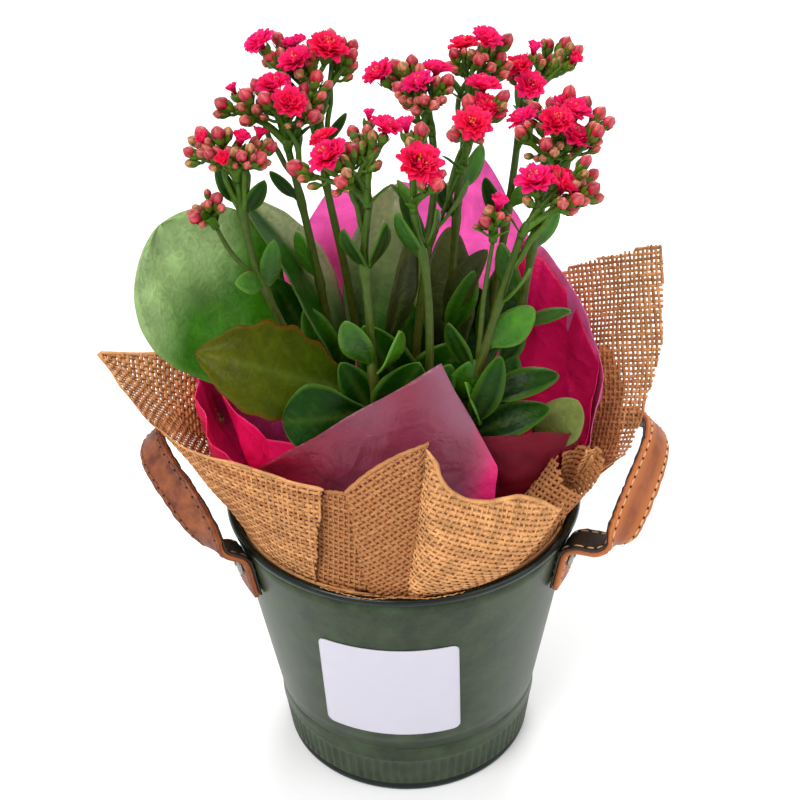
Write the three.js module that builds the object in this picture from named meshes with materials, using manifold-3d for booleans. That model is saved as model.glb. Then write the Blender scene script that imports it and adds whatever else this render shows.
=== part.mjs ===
// Potted flaming katy in a painted tin with strap handles, a hessian wrap and a pink tissue wrap.
// Millimetres, +Z up, front towards -Y. The tin stands on z = 0.

import * as THREE from 'three';
import { mergeVertices } from 'three/addons/utils/BufferGeometryUtils.js';
import Module from 'manifold-3d';

const wasm = await Module();
wasm.setup();

// Driving dimensions

const GAP = 0.3;                  // clearance between touching pieces
const SHEET = 0.8;                // tin plate
const TIN_HEIGHT = 125;
const RIM_RADIUS = 75;            // outside of the rolled rim
const BEAD = 3.6;                 // height of the rolled rim
const WALL_TOP_RADIUS = 73.4;     // cone of the wall, just under the rim
const FOOT_HEIGHT = 28;
const FOOT_RADIUS = 57.5;         // cone of the wall, at the top of the foot
const FOOT_BASE_RADIUS = 54;
const FLUTES = 44;
const FLUTE_DEPTH = 0.9;
const TIN_SIDES = 48;

const POT_TOP_RADIUS = 53;        // plastic nursery pot inside, without its lip
const POT_LIP_RADIUS = 55.6;
const POT_BASE_RADIUS = 42;
const POT_WALL = 1.2;
const POT_SIDES = 30;
const POT_BOTTOM = 6.1;
const POT_TOP = 107;
const POT_LIP = 9;                // height of the lip
const SOIL_TOP = 101;
const STEM_FOOT = 90;             // stems reach this deep in the soil

const LABEL_WIDTH = 59;
const LABEL_LOW = 39;
const LABEL_HIGH = 94;
const LABEL_AZIMUTH = -97;

const STRAP_WIDTH = 14;
const LEATHER = 2.2;
const LINING = 1.1;

const STEM_RADIUS = 2.3;
const STEM_HOLE = 3.1;            // plain hole round a stem in the soil
const TWIG_RADIUS = 1.3;
const BLOOM_RADIUS = 6.9;
const BUD_LENGTH = 7.5;
const BUD_RADIUS = 2.9;
const LAY_BACK = 0.4;             // slope of a flower head's face, rising to the back

const COLOUR = {
  tin: 0x3d5443,
  rim: 0x1f2f27,
  label: 0xe8e6f2,
  leather: 0xb5652c,
  lining: 0x26221f,
  steel: 0x8c8a86,
  hessian: 0xc8935c,
  tissue: 0xc2104f,
  pot: 0x2a2a28,
  soil: 0x3a2a1e,
  leaf: 0x3f7a1f,
  bloom: 0xd81455,
};

// Vectors and small helpers

const X = 0;
const Y = 1;
const Z = 2;
const UP = new THREE.Vector3(0, 0, 1);

function vec(point) {
  return new THREE.Vector3(point[X], point[Y], point[Z]);
}

function polar(radius, degrees, z) {
  const angle = THREE.MathUtils.degToRad(degrees);
  return new THREE.Vector3(radius * Math.cos(angle), radius * Math.sin(angle), z);
}

function wallRadius(z) {
  const slope = (WALL_TOP_RADIUS - FOOT_RADIUS) / (TIN_HEIGHT - BEAD - FOOT_HEIGHT);
  return FOOT_RADIUS + slope * (z - FOOT_HEIGHT);
}

function potInside(z) {
  const [low, high] = [POT_BOTTOM + POT_WALL, POT_TOP];
  const [narrow, wide] = [POT_BASE_RADIUS - POT_WALL, POT_LIP_RADIUS - POT_WALL];
  return narrow + ((wide - narrow) * (z - low)) / (high - low);
}

let seed = 4902;
function random() {
  seed = (seed * 1664525 + 1013904223) % 4294967296;
  return seed / 4294967296;
}

// Solids

function solid(geometry) {
  const bare = new THREE.BufferGeometry();
  bare.setAttribute('position', geometry.getAttribute('position').clone());
  if (geometry.index) bare.setIndex(geometry.index.clone());
  const merged = mergeVertices(bare, 1e-4);
  const index = merged.index.array;
  const faces = [];
  for (let i = 0; i < index.length; i += 3) {
    const [a, b, c] = [index[i], index[i + 1], index[i + 2]];
    if (a !== b && b !== c && c !== a) faces.push(a, b, c);
  }
  const vertProperties = Float32Array.from(merged.getAttribute('position').array);
  const build = () => {
    const mesh = new wasm.Mesh({ numProp: 3, vertProperties, triVerts: Uint32Array.from(faces) });
    return new wasm.Manifold(mesh);
  };
  const body = build();
  if (body.volume() > 0) return body;
  for (let i = 0; i < faces.length; i += 3) [faces[i], faces[i + 1]] = [faces[i + 1], faces[i]];
  return build();
}

function fuse(geometries) {
  let body = null;
  for (const geometry of geometries) {
    const next = geometry instanceof wasm.Manifold ? geometry : solid(geometry);
    body = body ? body.add(next) : next;
  }
  return body;
}

function geometryOf(body) {
  const mesh = body.getMesh();
  const geometry = new THREE.BufferGeometry();
  geometry.setAttribute('position', new THREE.BufferAttribute(Float32Array.from(mesh.vertProperties), 3));
  geometry.setIndex(new THREE.BufferAttribute(Uint32Array.from(mesh.triVerts), 1));
  geometry.computeVertexNormals();
  return geometry;
}

function indexed(points, faces) {
  const geometry = new THREE.BufferGeometry();
  geometry.setAttribute('position', new THREE.Float32BufferAttribute(points.flatMap((p) => [p.x, p.y, p.z]), 3));
  geometry.setIndex(faces.flat());
  return geometry;
}

const group = new THREE.Group();
const plant = new THREE.Group();
group.add(plant);

function place(name, shape, color, roughness, metalness = 0) {
  const geometry = geometryOf(solid(shape));
  const material = new THREE.MeshStandardMaterial({ color, roughness, metalness });
  const mesh = new THREE.Mesh(geometry, material);
  mesh.name = name;
  plant.add(mesh);
}

function lathe(profile, sides) {
  const points = profile.map(([r, z]) => new THREE.Vector2(r, z));
  const geometry = new THREE.LatheGeometry([...points, points[0].clone()], sides);
  return geometry.rotateX(Math.PI / 2);
}

// Round rod along a smooth path, as an extrusion of a regular polygon

function rod(path, radius, sides, steps) {
  const section = new THREE.Shape();
  for (let i = 0; i < sides; i += 1) {
    const angle = (i / sides) * Math.PI * 2;
    section[i ? 'lineTo' : 'moveTo'](radius * Math.cos(angle), radius * Math.sin(angle));
  }
  const curve = new THREE.CatmullRomCurve3(path.map(vec), false, 'centripetal');
  return new THREE.ExtrudeGeometry(section, { steps, extrudePath: curve, bevelEnabled: false });
}

// Tin: conical wall with a rolled rim, fluted foot, floor

function tinWall() {
  const beadBase = TIN_HEIGHT - BEAD;
  const inside = RIM_RADIUS - BEAD + 0.3;
  const profile = [
    [FOOT_RADIUS, FOOT_HEIGHT + GAP],
    [WALL_TOP_RADIUS, beadBase],
    [RIM_RADIUS, beadBase + 1.2],
    [RIM_RADIUS - 0.4, TIN_HEIGHT - 0.7],
    [RIM_RADIUS - BEAD / 2, TIN_HEIGHT],
    [inside, TIN_HEIGHT - 1.4],
    [WALL_TOP_RADIUS - SHEET, beadBase - 1.4],
    [FOOT_RADIUS - SHEET, FOOT_HEIGHT + GAP],
  ];
  return lathe(profile.reverse(), TIN_SIDES);
}

const LEDGE = 3.4;                // bottom bead, which the floor rests on

function tinFoot() {
  const profile = [
    [51.8, 0],
    [53.6, 0],
    [FOOT_BASE_RADIUS + 0.8, 1.6],
    [FOOT_BASE_RADIUS - 0.3, LEDGE],
    [55.2, 4.8],
    [57.0, 19.6],
    [57.5, FOOT_HEIGHT],
    [FOOT_RADIUS - SHEET - GAP, FOOT_HEIGHT],
    [wallRadius(33) - SHEET - GAP, 33],
    [wallRadius(33) - 2 * SHEET, 33],
  ];
  const geometry = lathe(profile.reverse(), 2 * FLUTES);
  const position = geometry.getAttribute('position');
  for (let i = 0; i < position.count; i += 1) {
    const z = position.getZ(i);
    const radius = Math.hypot(position.getX(i), position.getY(i));
    const angle = Math.atan2(position.getY(i), position.getX(i));
    const fluted = z > 4 && z < 20 && radius > 54.6;
    if (fluted && Math.cos(angle * FLUTES) < 0) {
      const scale = (radius - FLUTE_DEPTH) / radius;
      position.setX(i, position.getX(i) * scale);
      position.setY(i, position.getY(i) * scale);
    }
  }
  return geometry;
}

function disc(radius, low, high, sides) {
  const geometry = new THREE.CylinderGeometry(radius, radius, high - low, sides);
  return geometry.rotateX(Math.PI / 2).translate(0, 0, (low + high) / 2);
}

place('tin_foot', tinFoot(), COLOUR.tin, 0.45, 0.3);
place('tin_floor', disc(52, LEDGE + GAP, LEDGE + GAP + SHEET, 40), COLOUR.rim, 0.5, 0.3);

// Blank label, bent round the cone of the wall

function label() {
  const columns = 8;
  const rows = 3;
  const corner = 3;
  const points = [];
  const faces = [];
  for (const offset of [GAP, GAP + 0.5]) {
    for (let j = 0; j <= rows; j += 1) {
      for (let i = 0; i <= columns; i += 1) {
        const edgeRow = j === 0 || j === rows;
        const width = LABEL_WIDTH - (edgeRow ? corner : 0);
        const height = [0, corner / 2, LABEL_HIGH - LABEL_LOW - corner / 2, LABEL_HIGH - LABEL_LOW][j];
        const z = LABEL_LOW + height;
        const radius = wallRadius(z) + offset;
        const turn = THREE.MathUtils.radToDeg(((i / columns - 0.5) * width) / radius);
        points.push(polar(radius, LABEL_AZIMUTH + turn, z));
      }
    }
  }
  const stride = columns + 1;
  const layer = stride * (rows + 1);
  for (let j = 0; j < rows; j += 1) {
    for (let i = 0; i < columns; i += 1) {
      const a = j * stride + i;
      faces.push([a, a + stride, a + 1], [a + 1, a + stride, a + stride + 1]);
      const b = a + layer;
      faces.push([b, b + 1, b + stride], [b + 1, b + stride + 1, b + stride]);
    }
  }
  const rim = [];
  for (let i = 0; i < columns; i += 1) rim.push(i);
  for (let j = 0; j < rows; j += 1) rim.push(j * stride + columns);
  for (let i = columns; i > 0; i -= 1) rim.push(rows * stride + i);
  for (let j = rows; j > 0; j -= 1) rim.push(j * stride);
  rim.forEach((a, k) => {
    const b = rim[(k + 1) % rim.length];
    faces.push([a, b, b + layer], [a, b + layer, a + layer]);
  });
  return indexed(points, faces);
}

place('label', label(), COLOUR.label, 0.5);

// Wraps: closed shells round the axis, given by rings of points on the middle of the sheet

function shell(rings, thickness, closedBottom) {
  const count = rings[0].length;
  const outer = [];
  const inner = [];
  rings.forEach((ring, j) => {
    const below = rings[Math.max(j - 1, 0)];
    const above = rings[Math.min(j + 1, rings.length - 1)];
    ring.forEach((point, i) => {
      const along = ring[(i + 1) % count].clone().sub(ring[(i + count - 1) % count]);
      const rise = above[i].clone().sub(below[i]);
      const normal = along.cross(rise).normalize().multiplyScalar(thickness / 2);
      outer.push(point.clone().add(normal));
      inner.push(point.clone().sub(normal));
    });
  });
  const points = [...outer, ...inner];
  const layer = outer.length;
  const faces = [];
  const at = (j, i) => j * count + (i % count);
  for (let i = 0; i < count; i += 1) {
    for (let j = 0; j < rings.length - 1; j += 1) {
      const [a, b, c, d] = [at(j, i), at(j, i + 1), at(j + 1, i + 1), at(j + 1, i)];
      faces.push([a, b, c], [a, c, d]);
      faces.push([a + layer, c + layer, b + layer], [a + layer, d + layer, c + layer]);
    }
    const top = rings.length - 1;
    faces.push([at(top, i), at(top, i + 1), at(top, i + 1) + layer]);
    faces.push([at(top, i), at(top, i + 1) + layer, at(top, i) + layer]);
    if (closedBottom) {
      faces.push([2 * layer, at(0, i + 1), at(0, i)]);
      faces.push([2 * layer + 1, at(0, i) + layer, at(0, i + 1) + layer]);
    } else {
      faces.push([at(0, i), at(0, i) + layer, at(0, i + 1) + layer]);
      faces.push([at(0, i), at(0, i + 1) + layer, at(0, i + 1)]);
    }
  }
  if (closedBottom) {
    const z = rings[0][0].z;
    points.push(new THREE.Vector3(0, 0, z - thickness / 2));
    points.push(new THREE.Vector3(0, 0, z + thickness / 2));
  }
  return indexed(points, faces);
}

// A free edge is a list of [azimuth, radius, height] round the axis. Between two entries the
// edge runs straight in space, as the hem of a cut sheet does.

function edgePoint(edge, degrees) {
  const count = edge.length;
  for (let k = 0; k < count; k += 1) {
    const from = edge[k];
    const to = edge[(k + 1) % count];
    const span = (to[0] - from[0] + 360) % 360;
    const step = (degrees - from[0] + 360) % 360;
    if (step <= span) {
      const a = polar(from[1], from[0], from[2]);
      const b = polar(to[1], to[0], to[2]);
      const ray = polar(1, degrees, 0);
      const cross = (p) => p.x * ray.y - p.y * ray.x;
      const denominator = cross(a) - cross(b);
      const mix = Math.abs(denominator) < 1e-6 ? 0 : THREE.MathUtils.clamp(cross(a) / denominator, 0, 1);
      return a.lerp(b, mix);
    }
  }
  throw new Error('no edge at this azimuth');
}

function wrapRings(edge, collar, azimuths, belly, rows) {
  const rings = collar.map(([radius, z]) => azimuths.map((azimuth) => polar(radius, azimuth, z)));
  const [collarRadius, collarTop] = collar[collar.length - 1];
  for (let j = 1; j <= rows; j += 1) {
    const t = j / rows;
    rings.push(azimuths.map((azimuth) => {
      const base = polar(collarRadius, azimuth, collarTop);
      const point = base.clone().lerp(edgePoint(edge, azimuth), t);
      const swell = belly(azimuth) * 4 * t * (1 - t);
      return point.add(polar(swell, azimuth, 0));
    }));
  }
  return rings;
}

// Four corners of the square hessian: left, back, right and a rolled one at the front right

const HESSIAN = 1.0;
const HESSIAN_EDGE = [
  [0, 101, 160], [8, 111, 186], [17, 115, 221], [30, 101, 206], [42, 92, 193], [62, 84, 184], [85, 76, 206],
  [108, 73, 234], [128, 82, 200], [150, 93, 172], [166, 109, 177], [175, 125, 188], [184, 114, 183],
  [194, 102, 176], [208, 91, 176], [222, 84, 177], [236, 78, 175], [250, 73, 173], [258, 71, 180],
  [268, 71, 189], [277, 72, 195], [284, 69, 180], [296, 72, 168], [310, 77, 163], [319, 78, 155],
  [327, 77, 168], [336, 84, 166], [343, 88, 149], [352, 95, 149],
];
const HESSIAN_COLLAR = [[49.5, 5.3], [54.6, 31], [71.2, 127]];
const HESSIAN_STEPS = 52;

function hessianBelly(azimuth) {
  const bump = (centre, width) => Math.exp(-(((azimuth - centre) / width) ** 2));
  return 4 * bump(300, 26) + 2 * bump(240, 30) - 3 * bump(178, 18) - 2 * bump(18, 16);
}

function evenAzimuths(steps) {
  return Array.from({ length: steps }, (_, i) => (i * 360) / steps);
}

const hessianRings = wrapRings(HESSIAN_EDGE, HESSIAN_COLLAR, evenAzimuths(HESSIAN_STEPS), hessianBelly, 2);
place('hessian_wrap', shell(hessianRings, HESSIAN, true), COLOUR.hessian, 0.95);

// Pink tissue inside the hessian, with the square corner of its front flap standing up

const TISSUE = 0.7;
const TISSUE_EDGE = [
  [0, 79, 172], [10, 84, 180], [25, 81, 196], [36, 76, 210], [46, 69, 222], [50, 66, 238], [56, 61, 255],
  [66, 58, 246], [76, 57, 236], [90, 56, 241], [104, 57, 232], [118, 59, 238], [137, 72, 200], [152, 86, 178],
  [163, 96, 168], [172, 88, 166], [184, 81, 164], [199, 76, 163], [211, 75, 164], [228, 76, 176],
  [287, 52, 217], [304, 61, 172], [312, 68, 176], [326, 72, 174], [338, 75, 168], [350, 77, 166],
];
const TISSUE_COLLAR = [[56.4, 104], [66.5, 128]];
const TISSUE_STEPS = 45;

function tissueBelly(azimuth) {
  const bump = (centre, width) => Math.exp(-(((azimuth - centre) / width) ** 2));
  return 3 * bump(270, 40) + 1.5 * bump(10, 30) + 1.5 * bump(370, 30);
}

const tissueRings = wrapRings(TISSUE_EDGE, TISSUE_COLLAR, evenAzimuths(TISSUE_STEPS), tissueBelly, 2);
place('tissue_wrap', shell(tissueRings, TISSUE, false), COLOUR.tissue, 0.35);

// Nursery pot and soil

function nurseryPot() {
  const inside = POT_BOTTOM + POT_WALL;
  const profile = [
    [0, POT_BOTTOM],
    [POT_BASE_RADIUS, POT_BOTTOM],
    [POT_TOP_RADIUS, POT_TOP - POT_LIP - 1],
    [POT_LIP_RADIUS, POT_TOP - POT_LIP],
    [POT_LIP_RADIUS, POT_TOP],
    [potInside(POT_TOP), POT_TOP],
    [potInside(inside), inside],
    [0, inside],
  ];
  const points = profile.map(([r, z]) => new THREE.Vector2(r, z));
  return new THREE.LatheGeometry(points, POT_SIDES).rotateX(Math.PI / 2);
}

place('nursery_pot', nurseryPot(), COLOUR.pot, 0.6);

// Leafy stems. A path is a list of points up the stem, the first one in the soil. Twigs branch
// off the stem. A leaf is [base, tip, width, facing, bend]: the bend lifts its middle.

const FRONT = [0.1, -0.8, 0.6];
const LEFT_UP = [-0.6, -0.4, 0.7];
const RIGHT_UP = [0.6, -0.4, 0.7];
const SKY = [0, -0.3, 1];
const BACK = [0, 0.7, 0.7];

const STEMS = {
  a: {
    foot: [-18, -6],
    path: [[-24, -10, 150], [-40, -14, 200], [-53, -15, 238], [-57, -14, 262], [-58, -12, 274]],
    twigs: [[[-50, -15, 232], [-62, -15, 246], [-67, -15, 257]]],
    leaves: [
      [[-24, -10, 150], [-92, 3, 247], 72, [0.45, -0.7, 0.55], -8, 1.35],
      [[-57, -13, 264], [-66, -7, 278], 7, LEFT_UP, 1],
      [[-57, -14, 262], [-48, -13, 275], 7, RIGHT_UP, 1],
      [[-51, -15, 233], [-61, -23, 238], 9, FRONT, 1],
      [[-50, -15, 230], [-46, -16, 252], 8, FRONT, 1],
      [[-24, -10, 152], [-62, 10, 174], 22, [-0.3, 0.2, 0.9], 5],
    ],
  },
  b: {
    foot: [-21, 9],
    path: [[-25, 11, 160], [-31, 11, 217], [-37, 9, 258], [-40, 6, 278]],
    twigs: [],
    leaves: [
      [[-25, 11, 160], [-60, 22, 250], 34, [0.75, -0.25, 0.6], 12, 1.1],
      [[-37, 9, 256], [-48, 10, 268], 5, LEFT_UP, 1],
      [[-25, 11, 158], [-40, 42, 190], 24, [-0.2, 0.4, 0.9], 6],
      [[-31, 11, 219], [-40, 22, 236], 8, LEFT_UP, 1],
    ],
  },
  c: {
    foot: [-10, 22],
    path: [[-14, 21, 160], [-21, 17, 220], [-27, 14, 262], [-28, 14, 286]],
    twigs: [],
    leaves: [
      [[-14, 21, 166], [-1, 44, 245], 32, [0.1, -0.85, 0.45], 5, 1.0],
      [[-28, 13, 262], [-20, 16, 275], 5, RIGHT_UP, 1],
      [[-28, 13, 276], [-18, 17, 288], 4, RIGHT_UP, 1],
      [[-14, 21, 156], [-16, 50, 182], 24, BACK, 5],
    ],
  },
  d: {
    foot: [-7, -25],
    path: [[-8, -32, 150], [-10, -39, 195], [-11, -41, 232], [-12, -41, 258], [-10, -40, 276]],
    twigs: [],
    leaves: [
      [[-8, -32, 158], [-79, -34, 217], 43, [0.1, -0.8, 0.6], 7, 1.15],
      [[-11, -41, 252], [-19, -44, 270], 9, LEFT_UP, 1],
      [[-11, -41, 252], [-4, -44, 272], 9, RIGHT_UP, 1],
      [[-10, -40, 208], [-21, -45, 233], 15, [-0.3, -0.8, 0.5], 2],
      [[-10, -40, 206], [0, -46, 229], 12, RIGHT_UP, 2],
      [[-9, -37, 184], [-36, -41, 186], 24, [0.1, -0.95, 0.35], 4, 1.1],
      [[-9, -37, 180], [7, -44, 214], 20, [0.1, -0.85, 0.5], 2],
    ],
  },
  e: {
    foot: [5, -24],
    path: [[8, -31, 160], [11, -39, 215], [10, -43, 250], [6, -44, 276]],
    twigs: [],
    leaves: [
      [[10, -42, 255], [0, -44, 276], 8, LEFT_UP, 1],
      [[10, -43, 262], [14, -48, 279], 7, RIGHT_UP, 1],
      [[9, -35, 186], [19, -38, 209], 12, [0.1, -0.8, 0.6], 2],
    ],
  },
  f: {
    foot: [2, 3],
    path: [[4, 4, 150], [7, 5, 194], [12, 5, 239], [15, 5, 268], [14, 5, 283]],
    twigs: [[[12, 5, 236], [18, 1, 254], [24, -4, 272]]],
    leaves: [
      [[13, 4, 242], [27, -7, 270], 9, RIGHT_UP, 1],
      [[12, 5, 236], [2, 8, 262], 8, LEFT_UP, 1],
      [[5, 4, 170], [-14, -6, 208], 22, [-0.3, -0.7, 0.6], 4],
      [[5, 4, 168], [26, -4, 198], 24, [0.4, -0.6, 0.7], 5],
    ],
  },
  g: {
    foot: [15, 18],
    path: [[19, 20, 170], [23, 23, 230], [28, 25, 285]],
    twigs: [],
    leaves: [
      [[18, 20, 162], [27, 46, 232], 28, [0.1, -0.8, 0.5], 4, 1.0],
      [[18, 20, 160], [4, 50, 190], 26, BACK, 6],
      [[24, 23, 238], [16, 26, 258], 8, LEFT_UP, 1],
      [[25, 24, 250], [34, 30, 268], 8, RIGHT_UP, 1],
    ],
  },
  h: {
    foot: [26, 24],
    path: [[34, 29, 165], [43, 33, 222], [48, 35, 262], [49, 35, 277]],
    twigs: [],
    leaves: [
      [[34, 29, 168], [53, 44, 214], 26, [0.3, -0.5, 0.7], 4],
      [[33, 28, 158], [32, 47, 192], 22, BACK, 4],
      [[44, 33, 230], [36, 38, 250], 8, LEFT_UP, 1],
      [[45, 34, 238], [56, 32, 254], 9, RIGHT_UP, 1],
    ],
  },
  i: {
    foot: [31, 3],
    path: [[38, -1, 150], [46, -5, 200], [52, -8, 245], [56, -9, 268]],
    twigs: [],
    leaves: [
      [[46, -5, 205], [66, -18, 219], 8, [0.1, -0.4, 0.9], 1],
      [[42, -3, 180], [60, -10, 206], 18, [0.3, -0.6, 0.7], 3],
      [[38, -1, 152], [66, 16, 186], 24, [0.5, 0.1, 0.9], 6],
      [[51, -8, 240], [61, -2, 258], 8, RIGHT_UP, 1],
      [[48, -6, 215], [40, 4, 238], 10, LEFT_UP, 1],
      [[39, -2, 156], [68, -31, 184], 18, [0.3, -0.5, 0.8], 6, 1.1],
    ],
  },
  j: {
    foot: [14, -17],
    path: [[18, -28, 150], [24, -37, 190], [30, -40, 212], [37, -40, 238], [44, -38, 262]],
    twigs: [[[29, -39, 208], [31, -41, 240], [34, -41, 262]]],
    leaves: [
      [[37, -40, 236], [47, -47, 254], 7, RIGHT_UP, 1],
      [[28, -39, 205], [18, -36, 226], 9, LEFT_UP, 1],
      [[26, -38, 198], [50, -30, 226], 17, [0.3, -0.7, 0.6], 3],
      [[24, -37, 188], [60, -36, 199], 17, [0.1, -0.6, 0.8], 5, 1.1],
      [[22, -35, 176], [37, -43, 213], 16, [0.2, -0.9, 0.4], 2],
      [[20, -32, 164], [57, -40, 179], 17, [0.1, -0.6, 0.8], 6, 1.1],
    ],
  },
};

function blade([base, tip, width, facing, bend, fullness = 0.95]) {
  const large = width > 30;
  const small = width < 13;
  const rows = large ? 7 : 4 - small;
  const columns = large ? 4 : 2;
  const start = vec(base);
  const end = vec(tip);
  const axis = end.clone().sub(start);
  const length = axis.length();
  const along = axis.clone().normalize();
  const face = vec(facing).normalize();
  const across = along.clone().cross(face).normalize();
  const lift = across.clone().cross(along).normalize();
  const thickness = large ? 1.7 : 1.3;
  const stalk = large ? 1.7 : 1.0;
  const upper = [];
  const lower = [];
  for (let j = 0; j <= rows; j += 1) {
    const t = j / rows;
    const open = THREE.MathUtils.clamp((t - 0.12) / 0.88, 0, 1);
    const round = Math.sin(Math.PI * (0.04 + 0.9 * open ** fullness)) ** 0.75;
    const wave = large ? 1 + 0.05 * (j % 2 ? 1 : -1) : 1;
    const half = t < 0.1 ? stalk : Math.max(stalk, (width / 2) * round * wave);
    const middle = start.clone().addScaledVector(along, length * t);
    middle.addScaledVector(lift, bend * 4 * t * (1 - t));
    for (let i = 0; i <= columns; i += 1) {
      const s = (2 * i) / columns - 1;
      const ripple = large ? 0.03 * width * s * s * Math.sin(3 * Math.PI * t) : 0;
      const cup = 0.16 * half * s * s + ripple;
      const rim = 0.35 + 0.65 * (1 - s * s);
      const point = middle.clone().addScaledVector(across, s * half).addScaledVector(lift, cup);
      upper.push(point.clone().addScaledVector(lift, (thickness * rim) / 2));
      lower.push(point.clone().addScaledVector(lift, (-thickness * rim) / 2));
    }
  }
  return indexed([...upper, ...lower], sheetFaces(rows, columns, upper.length));
}

// Faces of a thick sheet of rows by columns, split alike on both sides

function sheetFaces(rows, columns, layer) {
  const stride = columns + 1;
  const faces = [];
  for (let j = 0; j < rows; j += 1) {
    for (let i = 0; i < columns; i += 1) {
      const a = j * stride + i;
      const [b, c, d] = [a + 1, a + stride + 1, a + stride];
      const [e, f, g, h] = [a, b, c, d].map((v) => v + layer);
      if ((i < columns / 2) === (j % 2 === 0)) {
        faces.push([a, c, b], [a, d, c], [e, f, g], [e, g, h]);
      } else {
        faces.push([a, d, b], [b, d, c], [e, f, h], [f, g, h]);
      }
    }
  }
  const rim = [];
  for (let i = 0; i < columns; i += 1) rim.push(i);
  for (let j = 0; j < rows; j += 1) rim.push(j * stride + columns);
  for (let i = columns; i > 0; i -= 1) rim.push(rows * stride + i);
  for (let j = rows; j > 0; j -= 1) rim.push(j * stride);
  rim.forEach((a, k) => {
    const b = rim[(k + 1) % rim.length];
    faces.push([a, b, b + layer], [a, b + layer, a + layer]);
  });
  return faces;
}

function stemPath({ foot, path }) {
  return [[...foot, STEM_FOOT], [...foot, SOIL_TOP + 16], ...path];
}

function leafyStem(plan) {
  const pieces = [rod(stemPath(plan), STEM_RADIUS, 5, 7)];
  for (const twig of plan.twigs) pieces.push(rod(twig, TWIG_RADIUS, 4, 3));
  for (const leaf of plan.leaves) pieces.push(blade(leaf));
  return geometryOf(fuse(pieces));
}

for (const [letter, plan] of Object.entries(STEMS)) {
  place(`stem_${letter}`, leafyStem(plan), COLOUR.leaf, 0.5);
}

// Soil, with a plain hole round each stem

function soil() {
  const low = POT_BOTTOM + POT_WALL + GAP;
  const profile = [
    [0, low],
    [potInside(low) - GAP, low],
    [potInside(SOIL_TOP) - GAP, SOIL_TOP],
    [0, SOIL_TOP + 2],
  ];
  const points = profile.map(([r, z]) => new THREE.Vector2(r, z));
  let body = solid(new THREE.LatheGeometry(points, POT_SIDES).rotateX(Math.PI / 2));
  for (const { foot } of Object.values(STEMS)) {
    const hole = new THREE.CylinderGeometry(STEM_HOLE, STEM_HOLE, 30, 6);
    hole.rotateX(Math.PI / 2).translate(foot[X], foot[Y], STEM_FOOT - GAP + 15);
    body = body.subtract(solid(hole));
  }
  return geometryOf(body);
}

place('soil', soil(), COLOUR.soil, 1);

// Flower heads. A head sits on the end of its stem, or of its twig. Its blooms are [x, z, size] on
// a face that lies back from the front: size 1 is an open double floret, 0.5 to 0.8 a half-open
// one and 0 a bud.

const HEADS = {
  a: {
    y: -12,
    z: 288,
    blooms: [[-69, 291, 0.6], [-71, 296, 0], [-64, 294, 0], [-75, 287, 0], [-67, 285, 0], [-56, 290, 0.7],
      [-50, 294, 0.6], [-61, 281, 0.6], [-45, 288, 0], [-49, 283, 0], [-55, 283, 0]],
  },
  a_low: { twig: true, y: -15, z: 265, blooms: [[-74, 261, 0], [-71, 266, 0], [-66, 269, 0]] },
  b: {
    y: 2,
    z: 300,
    blooms: [[-63, 299, 0], [-59, 306, 0.5], [-54, 302, 0], [-51, 309, 0], [-44, 307, 1], [-38, 297, 1],
      [-33, 306, 0], [-28, 310, 0], [-29, 292, 0], [-34, 301, 0], [-47, 300, 0]],
  },
  c: {
    y: 16,
    z: 309,
    blooms: [[-36, 309, 1], [-37, 319, 0.8], [-24, 314, 1.15], [-15, 318, 0], [-15, 312, 0], [-23, 322, 0],
      [-30, 319, 0], [-49, 318, 0.9], [-43, 322, 0], [-46, 313, 0]],
  },
  d: {
    y: -29,
    z: 294,
    blooms: [[-9, 309, 0.5], [-15, 303, 0], [-3, 302, 0.9], [-7, 294, 0], [-25, 299, 0.8], [-23, 290, 1.1],
      [-15, 294, 0], [-19, 278, 0], [-35, 286, 0.4]],
  },
  e: { y: -46, z: 299, blooms: [[8, 294, 1.15], [4, 312, 0.7], [9, 309, 0], [14, 286, 0]] },
  f: {
    y: 5,
    z: 304,
    blooms: [[-5, 309, 0.95], [1, 314, 0], [7, 314, 0], [16, 311, 0.9], [9, 303, 0.9], [11, 295, 0], [2, 303, 0],
      [20, 304, 0]],
  },
  f_side: {
    twig: true,
    y: -5,
    z: 297,
    blooms: [[33, 309, 1], [34, 298, 1.1], [28, 289, 1], [21, 286, 0], [27, 301, 0], [40, 303, 0]],
  },
  g: {
    y: 25,
    z: 308,
    blooms: [[23, 307, 0], [27, 312, 0.9], [35, 312, 0.9], [38, 318, 0], [43, 313, 0], [32, 303, 0], [41, 306, 0]],
  },
  h: {
    y: 35,
    z: 298,
    blooms: [[48, 297, 0.9], [52, 288, 0.9], [54, 304, 0.6], [61, 310, 0], [67, 309, 0], [69, 299, 0.6],
      [62, 302, 0], [71, 304, 0]],
  },
  i: {
    y: -8,
    z: 294,
    blooms: [[64, 298, 1.15], [47, 295, 0.9], [58, 291, 1], [65, 286, 1], [54, 282, 0], [45, 288, 0], [58, 303, 0],
      [64, 306, 0], [70, 302, 0], [75, 297, 0], [77, 291, 0], [52, 301, 0], [73, 287, 0]],
  },
  j: {
    y: -36,
    z: 282,
    blooms: [[49, 283, 1.1], [59, 281, 1.2], [67, 291, 0], [70, 286, 0], [69, 279, 0], [63, 274, 0]],
  },
  j_side: { twig: true, y: -41, z: 275, blooms: [[36, 276, 0.7], [31, 270, 0]] },
};

const CORE_RADIUS = 2.9;
const CORE_LENGTH = 7.5;
const STALK_RADIUS = 0.95;
const PETALS = 7;
const FACE_TILT = new THREE.Vector3(0, -0.25, 0.55);    // open blooms turn up and to the front
const VIEW_SLOPE = 0.547;          // fall of the viewer's line of sight for each unit along it
const VIEW_REACH = 0.837;

// A bloom given by its place across the face is laid back on the sloping face of its head

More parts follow.
